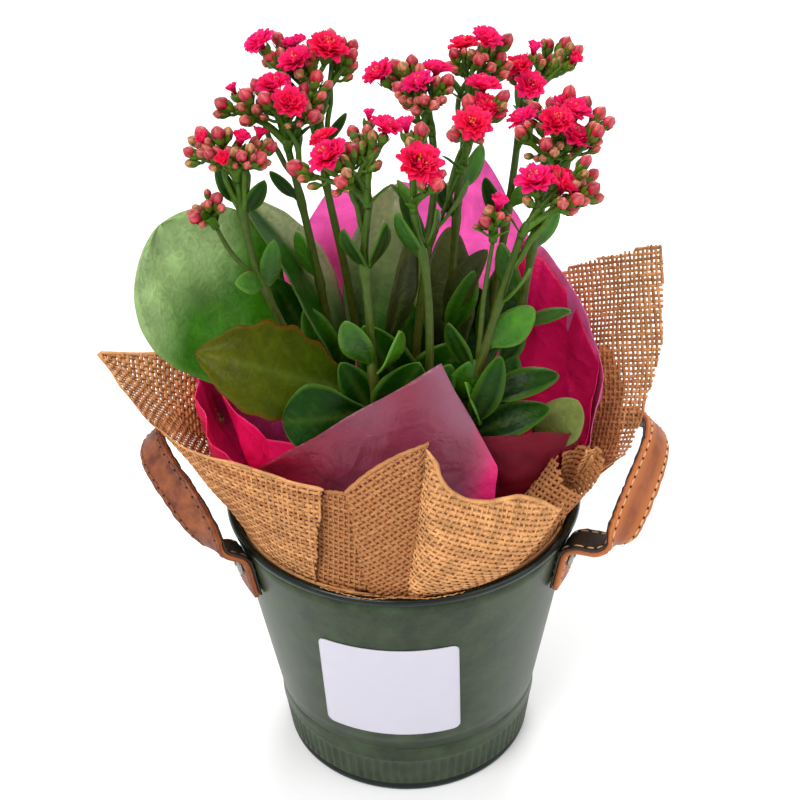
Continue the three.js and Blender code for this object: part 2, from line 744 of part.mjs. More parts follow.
function bloomPlace(head, [x, z], order) {
  const back = (z - head.z) / (VIEW_SLOPE + VIEW_REACH * LAY_BACK);
  const scatter = 5 * Math.sin(order * 2.4);
  const reach = back + scatter;
  return new THREE.Vector3(x, head.y + VIEW_REACH * reach, z - VIEW_SLOPE * reach);
}

// A bloom and its stalk are one closed body: from a tip in the hub the stalk widens to a ring
// under the bloom, and rings of points above it make the petals or the bud.

function stacked(tip, centre, axis, rings, height) {
  const turn = new THREE.Quaternion().setFromUnitVectors(UP, axis);
  const spin = random() * Math.PI;
  const points = [tip.clone()];
  const faces = [];
  const settle = (radius, angle, z) => {
    const local = new THREE.Vector3(radius * Math.cos(angle + spin), radius * Math.sin(angle + spin), z);
    points.push(local.applyQuaternion(turn).add(centre));
  };
  let first = 1;
  rings.forEach(({ even, odd = even, z, sides }, level) => {
    for (let i = 0; i < sides; i += 1) settle(i % 2 ? odd : even, (i / sides) * Math.PI * 2, z);
    const below = level ? rings[level - 1].sides : 0;
    const under = (i) => first - below + (i % below);
    for (let i = 0; i < sides; i += 1) {
      const [a, b] = [first + i, first + ((i + 1) % sides)];
      if (!level) faces.push([0, b, a]);
      else if (below < sides && i % 2) faces.push([under((i + 1) / 2), b, a]);
      else if (below < sides) faces.push([under(i / 2), under(i / 2 + 1), b], [under(i / 2), b, a]);
      else if (i % 2) faces.push([under(i), under(i + 1), a], [a, under(i + 1), b]);
      else faces.push([under(i), under(i + 1), b], [under(i), b, a]);
    }
    first += sides;
  });
  settle(0, 0, height);
  const last = rings[rings.length - 1].sides;
  const summit = points.length - 1;
  for (let i = 0; i < last; i += 1) faces.push([summit - last + i, summit - last + ((i + 1) % last), summit]);
  return indexed(points, faces);
}

function bloom(hub, point, size) {
  const out = point.clone().sub(hub).normalize();
  if (size < 0.45) {
    const scale = size > 0 ? 1.2 : 1;
    const rings = [
      { even: STALK_RADIUS, z: -0.5 * BUD_LENGTH, sides: 4 },
      { even: BUD_RADIUS * scale, z: 0.05 * BUD_LENGTH, sides: 4 },
    ];
    return stacked(hub, point, out, rings, (scale - 0.5) * BUD_LENGTH);
  }
  const axis = out.clone().add(FACE_TILT).normalize();
  const radius = BLOOM_RADIUS * size;
  const cup = size < 0.75 ? 0.45 * radius : 0;
  const rings = [
    { even: STALK_RADIUS, z: -0.4 * radius, sides: PETALS },
    { even: radius, odd: 0.66 * radius, z: 0.08 * radius + cup, sides: 2 * PETALS },
    { even: 0.42 * radius, odd: 0.74 * radius, z: 0.38 * radius + cup, sides: 2 * PETALS },
  ];
  return stacked(hub, point, axis, rings, 0.5 * radius + cup);
}

// The core of a head is a small double cone on the stem's end, where the stalks part

function headSeat(name, head) {
  const plan = STEMS[name[0]];
  const path = (head.twig ? plan.twigs[0] : plan.path).slice(-2).map(vec);
  const along = path[1].clone().sub(path[0]).normalize();
  return { along, seat: path[1].clone().addScaledVector(along, GAP) };
}

function flowerHead(name, head) {
  const { along, seat } = headSeat(name, head);
  const places = head.blooms.map((entry, order) => bloomPlace(head, entry, order));
  const lean = along.clone().multiplyScalar(places.length);
  for (const point of places) lean.add(point.clone().sub(seat).normalize());
  lean.normalize();
  const profile = [[0, 0], [CORE_RADIUS, 0.7 * CORE_LENGTH], [0, CORE_LENGTH]];
  const core = new THREE.LatheGeometry(profile.map(([r, z]) => new THREE.Vector2(r, z)), 6);
  core.rotateX(Math.PI / 2).applyQuaternion(new THREE.Quaternion().setFromUnitVectors(UP, lean));
  const pieces = [core.translate(seat.x, seat.y, seat.z)];
  const parting = seat.clone().addScaledVector(lean, 0.45 * CORE_LENGTH);
  places.forEach((point, order) => pieces.push(bloom(parting, point, head.blooms[order][2])));
  return geometryOf(fuse(pieces));
}

for (const [name, head] of Object.entries(HEADS)) {
  place(`head_${name}`, flowerHead(name, head), COLOUR.bloom, 0.6);
}

// Strap handles: leather outside, dark lining inside, both ends riveted on the wall. Stations are
// [centre, width direction] from the front tab to the middle of the loop; the back half mirrors it.

const TAB_AZIMUTH = 27;
const TAB_LOW = 99;
const RIVET_HEIGHT = 111;

const LOOPS = {
  right: [
    [[79.5, -38.8, 121.3], [0.6, 0.8, 0]],
    [[84.5, -40, 123.3], [0.78, 0.62, -0.02]],
    [[88.4, -38.3, 128.4], [0.9, 0.38, -0.2]],
    [[92.4, -33.5, 135], [0.93, 0.14, -0.34]],
    [[97, -26, 141.3], [0.85, 0.04, -0.5]],
    [[101.6, -17, 146.2], [0.75, 0, -0.66]],
    [[104.9, -8, 149.2], [0.66, 0, -0.75]],
    [[106, 0, 150], [0.62, 0, -0.78]],
  ],
  left: [
    [[76.5, -38, 124], [0.62, 0.76, -0.12]],
    [[80.4, -37.2, 131], [0.8, 0.5, -0.28]],
    [[85.4, -33.2, 138], [0.86, 0.24, -0.44]],
    [[91, -27, 144], [0.82, 0.1, -0.55]],
    [[97, -19, 148.6], [0.75, 0.03, -0.65]],
    [[102, -10, 151.6], [0.68, 0, -0.73]],
    [[104, 0, 152.6], [0.64, 0, -0.77]],
  ],
};

function strapStations(loop) {
  const tangent = polar(1, 90 - TAB_AZIMUTH, 0).toArray();
  const clear = GAP + LINING + GAP + LEATHER / 2;
  const tab = (z, extra) => polar(wallRadius(z) + clear + extra, -TAB_AZIMUTH, z).toArray();
  const turn = loop === LOOPS.right
    ? [[tab(118, 0.5), tangent], [polar(79.5, -TAB_AZIMUTH, 120.8).toArray(), tangent]]
    : [[tab(119, 1.2), tangent]];
  const half = [[tab(TAB_LOW, 0), tangent], [tab(115, 0), tangent], ...turn, ...loop];
  const mirrored = half.slice(0, -1).reverse().map(([c, w]) => [[c[X], -c[Y], c[Z]], [w[X], -w[Y], w[Z]]]);
  return [...half, ...mirrored].map(([c, w]) => ({ centre: vec(c), wide: vec(w) }));
}

function strapLayer(loop, thickness, offset) {
  const stations = strapStations(loop);
  const points = [];
  const faces = [];
  stations.forEach(({ centre, wide }, k) => {
    const before = stations[Math.max(k - 1, 0)].centre;
    const after = stations[Math.min(k + 1, stations.length - 1)].centre;
    const along = after.clone().sub(centre).normalize().add(centre.clone().sub(before).normalize()).normalize();
    const across = wide.clone().addScaledVector(along, -wide.dot(along)).normalize();
    const out = across.clone().cross(along).normalize();
    for (const [side, level] of [[-1, -1], [1, -1], [1, 1], [-1, 1]]) {
      const corner = centre.clone().addScaledVector(across, (side * STRAP_WIDTH) / 2);
      points.push(corner.addScaledVector(out, offset + (level * thickness) / 2));
    }
    if (k) {
      const b = 4 * k;
      for (const [c, d] of [[0, 1], [1, 2], [2, 3], [3, 0]]) {
        if (c === 2) faces.push([b - 4 + c, b - 4 + d, b + c], [b - 4 + d, b + d, b + c]);
        else faces.push([b - 4 + c, b - 4 + d, b + d], [b - 4 + c, b + d, b + c]);
      }
    }
  });
  const last = points.length - 4;
  faces.push([0, 2, 1], [0, 3, 2], [last, last + 1, last + 2], [last, last + 2, last + 3]);
  return solid(indexed(points, faces));
}

// A pin lies along the wall's slope at the rivet height of one tab

function pin(radius, from, to, azimuth, sides) {
  const rodGeometry = new THREE.CylinderGeometry(radius, radius, to - from, sides);
  rodGeometry.rotateZ(-Math.PI / 2).translate((from + to) / 2, 0, 0);
  rodGeometry.rotateZ(THREE.MathUtils.degToRad(azimuth)).translate(0, 0, RIVET_HEIGHT);
  return solid(rodGeometry);
}

const SHANK = 1.5;
const RIVET_AZIMUTHS = { right_front: -27, right_back: 27, left_front: 207, left_back: 153 };
const OUTSIDE = wallRadius(RIVET_HEIGHT);
const LEATHER_FACE = OUTSIDE + GAP + LINING + GAP + LEATHER;

function drilled(body) {
  let result = body;
  for (const azimuth of Object.values(RIVET_AZIMUTHS)) {
    result = result.subtract(pin(SHANK + 0.4, OUTSIDE - 8, OUTSIDE + 12, azimuth, 6));
  }
  return result;
}

function rivet(azimuth) {
  const inside = OUTSIDE - SHEET - 0.6;
  const outside = LEATHER_FACE + 0.6;
  const head = pin(3, outside, outside + 1, azimuth, 9);
  const tail = pin(2.6, inside - 0.8, inside, azimuth, 6);
  return geometryOf(head.add(tail).add(pin(SHANK, inside - 0.4, outside + 0.5, azimuth, 6)));
}

for (const [side, loop] of Object.entries(LOOPS)) {
  const hand = side === 'left' ? -1 : 1;
  const settle = (body) => geometryOf(drilled(body)).scale(hand, 1, 1);
  const under = -(LEATHER + LINING) / 2 - GAP;
  place(`strap_leather_${side}`, settle(strapLayer(loop, LEATHER, 0)), COLOUR.leather, 0.55);
  place(`strap_lining_${side}`, settle(strapLayer(loop, LINING, under)), COLOUR.lining, 0.8);
}
place('tin_wall', geometryOf(drilled(solid(tinWall()))), COLOUR.tin, 0.45, 0.3);
for (const [name, azimuth] of Object.entries(RIVET_AZIMUTHS)) {
  place(`rivet_${name}`, rivet(azimuth), COLOUR.steel, 0.4, 0.9);
}

// The origin is on the ground under the middle of the whole outline

const outline = new THREE.Box3().setFromObject(plant, true);
const centre = outline.getCenter(new THREE.Vector3());
plant.position.set(-centre.x, -centre.y, 0);

export default group;
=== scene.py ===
"""Looks of a potted flaming katy: painted tin, strap handles, hessian and tissue wraps, plant."""

import math
import bpy
import numpy as np
from bpy.props import FloatProperty, FloatVectorProperty, IntProperty, PointerProperty
from mathutils import Matrix, Vector


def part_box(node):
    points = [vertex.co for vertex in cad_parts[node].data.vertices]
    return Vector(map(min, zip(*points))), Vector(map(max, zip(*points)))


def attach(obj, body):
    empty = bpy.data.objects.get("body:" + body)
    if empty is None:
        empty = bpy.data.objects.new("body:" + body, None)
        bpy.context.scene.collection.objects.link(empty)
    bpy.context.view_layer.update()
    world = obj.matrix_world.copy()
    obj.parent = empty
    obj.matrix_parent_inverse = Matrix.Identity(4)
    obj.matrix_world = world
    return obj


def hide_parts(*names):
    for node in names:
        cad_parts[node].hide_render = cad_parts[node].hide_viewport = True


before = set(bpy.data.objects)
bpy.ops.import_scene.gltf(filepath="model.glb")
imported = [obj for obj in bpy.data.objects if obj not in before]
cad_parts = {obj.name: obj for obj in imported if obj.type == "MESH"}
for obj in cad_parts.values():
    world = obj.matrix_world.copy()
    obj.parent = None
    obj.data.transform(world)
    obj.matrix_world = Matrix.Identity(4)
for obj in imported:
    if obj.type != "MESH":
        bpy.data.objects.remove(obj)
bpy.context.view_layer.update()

bl_info = {
    "name": "Potted flaming katy",
    "version": (1, 0, 0),
    "blender": (4, 5, 0),
    "location": "View3D > Sidebar > Katy",
    "description": "Dresses the solids of a potted flaming katy in its tin and gift wraps",
    "category": "Object",
}

MM = 0.001
SEED = 4902
X, Y, Z = 0, 1, 2
UP = np.array([0.0, 0.0, 1.0])
TURN = 2 * math.pi

FOOT_LOW, FOOT_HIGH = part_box("tin_foot")
POT_AXIS = np.array([(FOOT_LOW.x + FOOT_HIGH.x) / 2, (FOOT_LOW.y + FOOT_HIGH.y) / 2, 0.0])


# Colours and nodes


def linear(hex_colour, alpha=None):
    """The linear values of an sRGB hex colour, with an alpha if one is given."""
    parts = [int(hex_colour[i : i + 2], 16) / 255 for i in (1, 3, 5)]
    values = [c / 12.92 if c <= 0.04045 else ((c + 0.055) / 1.055) ** 2.4 for c in parts]
    return (*values, alpha) if alpha is not None else tuple(values)


def toned(hex_colour, factor):
    """The linear values and alpha of an sRGB hex colour that is made lighter or darker."""
    return (*(min(c * factor, 1) for c in linear(hex_colour)), 1)


def rgb(hex_colour):
    """The linear values of an sRGB hex colour as an array, for points that carry their own colour."""
    return np.array(linear(hex_colour))


def per_metre(size_mm):
    """The texture scale at which one feature is about this many millimetres wide."""
    return 1000.0 / size_mm


def add_node(tree, kind, inputs=None, stops=None, **settings):
    """Adds a node, with its settings, its ramp's stops, and its inputs: values, sockets or nodes."""
    node = tree.nodes.new("ShaderNode" + kind)
    for name, value in settings.items():
        setattr(node, name, value)
    for key, value in (inputs or {}).items():
        if isinstance(value, bpy.types.Node):
            value = value.outputs[0]
        if isinstance(value, bpy.types.NodeSocket):
            tree.links.new(value, node.inputs[key])
        else:
            node.inputs[key].default_value = value
    if stops:
        elements = node.color_ramp.elements
        for element, (place, value) in zip(elements, stops):
            element.position = place
            element.color = value
        for place, value in stops[2:]:
            elements.new(place).color = value
    return node


def start_material(name):
    """A new material, its empty node tree, and the socket of each point's place in metres."""
    material = bpy.data.materials.new(name)
    material.use_nodes = True
    tree = material.node_tree
    tree.nodes.clear()
    return material, tree, add_node(tree, "TexCoord").outputs["Object"]


# Points and meshes. Lengths are in millimetres round the pot's axis until they are placed.


def unit(vector):
    """The direction of a vector, or of each of an array of them."""
    vector = np.asarray(vector, float)
    return vector / np.maximum(np.linalg.norm(vector, axis=-1, keepdims=True), 1e-9)


def polar(radius, degrees, z):
    """Points at a radius, an azimuth and a height."""
    angle = np.radians(degrees)
    return np.stack(np.broadcast_arrays(radius * np.cos(angle), radius * np.sin(angle), z), axis=-1)


def to_metres(points):
    """Places in the shared frame of points in millimetres round the pot's axis."""
    return np.asarray(points, float) * MM + POT_AXIS


def ripple(points, size_mm, seed=0):
    """A smooth waviness between about -1 and 1, from a few seeded sine waves."""
    random = np.random.default_rng(SEED + seed)
    total = np.zeros(points.shape[:-1])
    for _ in range(7):
        direction = unit(random.normal(size=3)) * TURN / (size_mm * random.uniform(0.7, 1.6))
        total += np.sin(points @ direction + random.uniform(0, TURN))
    return total / 3.5


class Body:
    """Gathers points, faces, material numbers and point values for one mesh."""

    COLOURS = ("own", "skin", "margin")

    def __init__(self):
        self.points, self.faces, self.slots, self.values = [], [], [], {}
        self.count = 0

    def add(self, points, faces, slot=0, **values):
        """Adds points and faces; each value is one for all the points, or one for each."""
        points = np.asarray(points, float).reshape(-1, 3)
        start, self.count = self.count, self.count + len(points)
        self.points.append(points)
        self.faces += [tuple(int(i) + start for i in face) for face in faces]
        self.slots += [slot] * len(faces)
        for name, value in values.items():
            self.values.setdefault(name, []).append((start, self.count, value))

    def make(self, name, materials):
        """Makes the object, with its values as attributes and its faces smooth."""
        mesh = bpy.data.meshes.new(name)
        mesh.from_pydata(to_metres(np.concatenate(self.points)).tolist(), [], self.faces)
        mesh.update()
        for key, parts in self.values.items():
            wide = key in self.COLOURS
            data = np.zeros((self.count, 3) if wide else self.count, np.float32)
            for start, end, value in parts:
                data[start:end] = value
            attribute = mesh.attributes.new(key, "FLOAT_VECTOR" if wide else "FLOAT", "POINT")
            attribute.data.foreach_set("vector" if wide else "value", data.ravel())
        for material in materials:
            mesh.materials.append(material)
        mesh.polygons.foreach_set("material_index", np.array(self.slots, np.int32))
        mesh.polygons.foreach_set("use_smooth", np.full(len(self.faces), True))
        piece = bpy.data.objects.new(name, mesh)
        bpy.context.scene.collection.objects.link(piece)
        return piece


def settle(piece, slot, *nodes):
    """The piece rides on the part's one body and stands for nodes, whose solids it hides; the slot is not
    used.
    """
    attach(piece, "root")
    if nodes:
        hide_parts(*nodes)
    return piece


def grid_faces(rows, columns, wrap=False, start=0, flip=False):
    """Quads over rows by columns of points, closed round the columns if wrap is set."""
    faces = []
    for j in range(rows - 1):
        low, high = start + j * columns, start + (j + 1) * columns
        for i in range(columns if wrap else columns - 1):
            k = (i + 1) % columns
            quad = (low + i, low + k, high + k, high + i)
            faces.append(quad[::-1] if flip else quad)
    return faces


def capped_faces(rows, sides):
    """Quads round a tube of rows by sides of points, and a face at each end."""
    ends = [tuple(range(sides))[::-1], tuple(range((rows - 1) * sides, rows * sides))]
    return grid_faces(rows, sides, wrap=True) + ends


def turned(profile, sides):
    """Points and faces of a closed profile of (radius, height) turned round the pot's axis."""
    angles = np.arange(sides) * 360 / sides
    points = np.concatenate([polar(r, angles, z) for r, z in profile])
    faces = grid_faces(len(profile), sides, wrap=True)
    last = (len(profile) - 1) * sides
    faces += [(last + i, last + (i + 1) % sides, (i + 1) % sides, i) for i in range(sides)]
    return points, faces


def run_along(line):
    """How far along a line each of its points lies."""
    return np.concatenate([[0], np.cumsum(np.linalg.norm(np.diff(line, axis=0), axis=1))])


def read_at(at, run, values):
    """The values, given as rows at the distances of a run, at other distances."""
    return np.stack([np.interp(at, run, values[:, k]) for k in range(3)], axis=-1)


def spaced(line, count):
    """The line again, as this many points an even distance apart."""
    line = np.asarray(line, float)
    run = run_along(line)
    return read_at(np.linspace(0, run[-1], count), run, line)


def smooth_path(points, count):
    """Evenly spaced points on a centripetal Catmull-Rom curve through the given ones."""
    points = np.asarray(points, float)
    if len(points) == 2:
        return points[0] + np.linspace(0, 1, count)[:, None] * (points[1] - points[0])
    ends = [2 * points[0] - points[1], *points, 2 * points[-1] - points[-2]]
    fine = []
    for p0, p1, p2, p3 in zip(ends, ends[1:], ends[2:], ends[3:]):
        k = [0.0]
        for a, b in ((p0, p1), (p1, p2), (p2, p3)):
            k.append(k[-1] + max(np.linalg.norm(b - a), 1e-6) ** 0.5)
        t = np.linspace(k[1], k[2], 17)[:-1, None]
        a1 = (k[1] - t) / (k[1] - k[0]) * p0 + (t - k[0]) / (k[1] - k[0]) * p1
        a2 = (k[2] - t) / (k[2] - k[1]) * p1 + (t - k[1]) / (k[2] - k[1]) * p2
        a3 = (k[3] - t) / (k[3] - k[2]) * p2 + (t - k[2]) / (k[3] - k[2]) * p3
        b1 = (k[2] - t) / (k[2] - k[0]) * a1 + (t - k[0]) / (k[2] - k[0]) * a2
        b2 = (k[3] - t) / (k[3] - k[1]) * a2 + (t - k[1]) / (k[3] - k[1]) * a3
        fine.append((k[2] - t) / (k[2] - k[1]) * b1 + (t - k[1]) / (k[2] - k[1]) * b2)
    return spaced(np.concatenate([*fine, points[-1:]]), count)


def tube(path, radii, sides):
    """Points and faces of a round tube with closed ends, turned as little as its path allows."""
    path = np.asarray(path, float)
    along = unit(np.gradient(path, axis=0))
    side = unit(np.cross(along[0], [0.31, 0.2, 0.93]))
    angles = np.arange(sides) * TURN / sides
    rings = []
    for point, direction, radius in zip(path, along, np.broadcast_to(radii, len(path))):
        side = unit(side - direction * (side @ direction))
        ring = np.outer(np.cos(angles), side) + np.outer(np.sin(angles), np.cross(direction, side))
        rings.append(point + ring * radius)
    return np.concatenate(rings), capped_faces(len(path), sides)


def slab(top, bottom):
    """Points and faces of a thick sheet between two grids of rows by columns."""
    rows, columns = top.shape[:2]
    layer = rows * columns
    index = np.arange(layer).reshape(rows, columns)
    faces = grid_faces(rows, columns) + grid_faces(rows, columns, start=layer, flip=True)
    rim = [*index[0], *index[1:, -1], *index[-1, -2::-1], *index[-2:0:-1, 0]]
    faces += [(b, a, a + layer, b + layer) for a, b in zip(rim, rim[1:] + rim[:1])]
    return np.concatenate([top.reshape(-1, 3), bottom.reshape(-1, 3)]), faces


# Materials. Each is named for the real one and how its surface was made, and for any light or shade painted
# into it.


def enamelled_tin(colour, name="Enamelled tin plate, sponged green", rough=0.36):
    """Sponged enamel on tin plate gives a mottled satin coat with small bright and dark spots."""
    material, tree, place = start_material(name)
    sponge = add_node(tree, "TexNoise", {"Vector": place, "Scale": per_metre(11), "Detail": 6.0,
        "Roughness": 0.62})
    specks = add_node(tree, "TexNoise", {"Vector": place, "Scale": per_metre(1.6), "Detail": 2.0})
    tone = add_node(tree, "ValToRGB", {0: sponge}, stops=[(0.36, toned(colour, 0.62)),
        (0.66, toned(colour, 1.45))])
    spot = add_node(tree, "ValToRGB", {0: specks}, stops=[(0.5, linear("#ffffff", 1)),
        (0.72, linear("#ced4ce", 1))])
    mottled = add_node(tree, "Mix", {0: 0.5, 6: tone, 7: spot}, data_type="RGBA", blend_type="MULTIPLY")
    dents = add_node(tree, "TexNoise", {"Vector": place, "Scale": per_metre(24), "Detail": 3.0})
    bump = add_node(tree, "Bump", {"Height": dents, "Strength": 0.18, "Distance": 0.6 * MM})
    fine = add_node(tree, "Bump", {"Height": specks, "Strength": 0.22, "Distance": 0.08 * MM,
        "Normal": bump})
    gloss = add_node(tree, "MapRange", {0: sponge, 3: rough - 0.08, 4: rough + 0.14})
    coat = add_node(tree, "BsdfPrincipled", {"Base Color": mottled.outputs[2], "Roughness": gloss,
        "Metallic": 0.25, "Normal": fine, "Specular IOR Level": 0.36})
    add_node(tree, "OutputMaterial", {"Surface": coat})
    return material


def coated_card(colour):
    """Coated card is smooth and slightly satin, with the faintest clouding of its fibres."""
    material, tree, place = start_material("Coated card, blank")
    cloud = add_node(tree, "TexNoise", {"Vector": place, "Scale": per_metre(9), "Detail": 4.0})
    tone = add_node(tree, "Mix", {0: cloud, 6: toned(colour, 0.93), 7: linear(colour, 1)},
                    data_type="RGBA")
    fibre = add_node(tree, "TexNoise", {"Vector": place, "Scale": per_metre(0.9), "Detail": 3.0})
    bump = add_node(tree, "Bump", {"Height": fibre, "Strength": 0.12, "Distance": 0.05 * MM})
    card = add_node(tree, "BsdfPrincipled", {"Base Color": tone.outputs[2], "Roughness": 0.42,
        "Normal": bump})
    add_node(tree, "OutputMaterial", {"Surface": card})
    return material


def tanned_leather(colour):
    """Vegetable-tanned leather: pebbled grain, pulled-up pale patches, a burnished, rubbed middle, and
    painted shade.
    """
    material, tree, place = start_material("Leather, vegetable tanned, cut raw")
    burnt = add_node(tree, "Attribute", attribute_name="burnt").outputs["Fac"]
    cloud = add_node(tree, "TexNoise", {"Vector": place, "Scale": per_metre(8), "Detail": 5.0,
        "Roughness": 0.6})
    grain = add_node(tree, "TexVoronoi", {"Vector": place, "Scale": per_metre(0.9)}, feature="F1")
    tone = add_node(tree, "Mix", {0: cloud, 6: toned(colour, 0.72), 7: toned(colour, 1.35)},
                    data_type="RGBA")
    rubbed = add_node(tree, "MapRange", {0: cloud, 1: 0.3, 2: 0.7, 3: 0.3, 4: 1.0})
    burn = add_node(tree, "Math", {0: burnt, 1: rubbed}, operation="MULTIPLY")
    final = add_node(tree, "Mix", {0: burn, 6: tone.outputs[2], 7: linear("#5e2408", 1)},
                     data_type="RGBA")
    bump = add_node(tree, "Bump", {"Height": grain, "Strength": 0.5, "Distance": 0.16 * MM})
    soft = add_node(tree, "Bump", {"Height": cloud, "Strength": 0.4, "Distance": 0.5 * MM, "Normal": bump})
    rough = add_node(tree, "MapRange", {0: cloud, 3: 0.42, 4: 0.66})
    hide = add_node(tree, "BsdfPrincipled", {"Base Color": final.outputs[2], "Roughness": rough,
        "Normal": soft})
    add_node(tree, "OutputMaterial", {"Surface": hide})
    return material


def plain_finish(name, colour, grain_mm, rough, metal=0.0, strength=0.4, contrast=0.25, depth_mm=0.15):
    """A plain surface with a grain of its own: two tones of one colour, bump and varied gloss."""
    material, tree, place = start_material(name)
    grain = add_node(tree, "TexNoise", {"Vector": place, "Scale": per_metre(grain_mm), "Detail": 5.0})
    tone = add_node(tree, "ValToRGB", {0: grain}, stops=[(0.35, toned(colour, 1 - contrast)),
        (0.65, toned(colour, 1 + contrast))])
    bump = add_node(tree, "Bump", {"Height": grain, "Strength": strength, "Distance": depth_mm * MM})
    gloss = add_node(tree, "MapRange", {0: grain, 3: rough - 0.1, 4: min(rough + 0.1, 1.0)})
    skin = add_node(tree, "BsdfPrincipled", {"Base Color": tone, "Roughness": gloss, "Metallic": metal,
        "Normal": bump})
    add_node(tree, "OutputMaterial", {"Surface": skin})
    return material


def spun_jute(colour, name="Jute yarn, spun, for hessian"):
    """Spun jute is matt and hairy: its tan yarns vary from straw to brown along their length."""
    material, tree, place = start_material(name)
    slub = add_node(tree, "TexNoise", {"Vector": place, "Scale": per_metre(7), "Detail": 3.0})
    # The fibres are finer than this. They are drawn as coarse as they need to be to show.
    fibre = add_node(tree, "TexNoise", {"Vector": place, "Scale": per_metre(0.7), "Detail": 3.0,
        "Roughness": 0.7})
    # A point value darkens the yarns towards brown: partly each yarn's own tone at random, partly painted
    # shade, and where it is below nothing, painted light.
    tint = add_node(tree, "Attribute", attribute_name="tint").outputs["Fac"]
    tone = add_node(tree, "ValToRGB", {0: slub}, stops=[
        (0.32, toned(colour, 0.7)), (0.52, linear(colour, 1)), (0.72, toned(colour, 1.3))])
    warm = add_node(tree, "Mix", {0: tint, 6: tone, 7: linear("#c08050", 1)}, data_type="RGBA")
    hair = add_node(tree, "MapRange", {0: fibre, 1: 0.25, 2: 0.75, 3: 0.72, 4: 1.22})
    final = add_node(tree, "VectorMath", {0: warm.outputs[2], 3: hair}, operation="SCALE")
    bump = add_node(tree, "Bump", {"Height": fibre, "Strength": 0.7, "Distance": 0.2 * MM})
    cloth = add_node(tree, "BsdfPrincipled", {"Base Color": final, "Roughness": 0.86, "Normal": bump,
        "Specular IOR Level": 0.2})
    glow = add_node(tree, "BsdfTranslucent", {"Color": final})
    yarn = add_node(tree, "MixShader", {0: 0.22, 1: cloth, 2: glow})
    add_node(tree, "OutputMaterial", {"Surface": yarn})
    return material


def tissue_paper(title, colour, lit, through_share, clear, rough):
    """Waxed tissue is thin and glazed: light comes through it, and creases catch small highlights."""
    material, tree, place = start_material(title)
    crumple = add_node(tree, "TexNoise", {"Vector": place, "Scale": per_metre(20), "Detail": 5.0,
        "Roughness": 0.6, "Distortion": 0.6})
    crease = add_node(tree, "TexVoronoi", {"Vector": place, "Scale": per_metre(17), "Randomness": 1.0},
                      feature="DISTANCE_TO_EDGE")
    fibre = add_node(tree, "TexNoise", {"Vector": place, "Scale": per_metre(1.1), "Detail": 4.0})
    light = add_node(tree, "MapRange", {0: crumple, 1: 0.36, 2: 0.64})
    tone = add_node(tree, "Mix", {0: light, 6: toned(colour, 0.8), 7: toned(colour, 1.25)},
                    data_type="RGBA")
    through = add_node(tree, "Mix", {0: light, 6: toned(lit, 0.72), 7: linear(lit, 1)}, data_type="RGBA")
    # Two point values paint light into the colour: a greyed mauve painted sheen and a pink painted
    # highlight.
    for name, painted_tone in (("veil", "#94586e"), ("blush", "#f0307c")):
        share = add_node(tree, "Attribute", attribute_name=name).outputs["Fac"]
        tone = add_node(tree, "Mix", {0: share, 6: tone.outputs[2], 7: linear(painted_tone, 1)}, data_type="RGBA")
    sharp = add_node(tree, "MapRange", {0: crease, 1: 0.0, 2: 0.09, 3: 1.0, 4: 0.0})
    wrinkle = add_node(tree, "Bump", {"Height": crumple, "Strength": 0.65, "Distance": 3.0 * MM})
    folded = add_node(tree, "Bump", {"Height": sharp, "Strength": 0.35, "Distance": 0.5 * MM,
        "Normal": wrinkle})
    grain = add_node(tree, "Bump", {"Height": fibre, "Strength": 0.2, "Distance": 0.1 * MM,
        "Normal": folded})
    paper = add_node(tree, "BsdfPrincipled", {"Base Color": tone.outputs[2], "Roughness": rough,
        "Normal": grain, "Specular IOR Level": 0.35})
    glow = add_node(tree, "BsdfTranslucent", {"Color": through.outputs[2], "Normal": wrinkle})
    sheet = add_node(tree, "MixShader", {0: through_share, 1: paper, 2: glow})
    if clear:
        hole = add_node(tree, "BsdfTransparent", {"Color": linear("#ffc8dc", 1)})
        sheet = add_node(tree, "MixShader", {0: clear, 1: sheet, 2: hole})
    add_node(tree, "OutputMaterial", {"Surface": sheet})
    return material


def succulent_leaf(title):
    """A thick waxy leaf: glossy skin, paler midrib and veins, a thin light or red margin."""
    material, tree, place = start_material(title)
    skin, edge = (add_node(tree, "Attribute", attribute_name=name).outputs["Vector"]
                  for name in ("skin", "margin"))
    across, rib, wax = (add_node(tree, "Attribute", attribute_name=name).outputs["Fac"]
                        for name in ("across", "rib", "wax"))
    cloud = add_node(tree, "TexNoise", {"Vector": place, "Scale": per_metre(14), "Detail": 4.0})
    cell = add_node(tree, "TexNoise", {"Vector": place, "Scale": per_metre(4.2), "Detail": 4.0,
        "Distortion": 1.6})
    lift = add_node(tree, "MapRange", {0: cloud, 1: 0.3, 2: 0.7, 3: 0.7, 4: 1.32})
    dimple = add_node(tree, "MapRange", {0: cell, 1: 0.3, 2: 0.7, 3: 0.84, 4: 1.2})
    both = add_node(tree, "Math", {0: lift, 1: dimple}, operation="MULTIPLY")
    tone = add_node(tree, "VectorMath", {0: skin, 3: both}, operation="SCALE")
    veined = add_node(tree, "Mix", {0: rib, 6: tone, 7: linear("#86a440", 1)}, data_type="RGBA")
    rimmed = add_node(tree, "Mix", {0: across, 6: veined.outputs[2], 7: edge}, data_type="RGBA").outputs[2]
    waves = add_node(tree, "Bump", {"Height": cloud, "Strength": 0.6, "Distance": 2.0 * MM})
    bump = add_node(tree, "Bump", {"Height": cell, "Strength": 0.5, "Distance": 0.7 * MM, "Normal": waves})
    gloss = add_node(tree, "MapRange", {0: cloud, 3: 0.26, 4: 0.42})
    blade = add_node(tree, "BsdfPrincipled", {"Base Color": rimmed, "Roughness": gloss, "Normal": bump,
        "Specular IOR Level": wax})
    glow = add_node(tree, "BsdfTranslucent", {"Color": rimmed})
    flesh = add_node(tree, "MixShader", {0: 0.12, 1: blade, 2: glow})
    add_node(tree, "OutputMaterial", {"Surface": flesh})
    return material


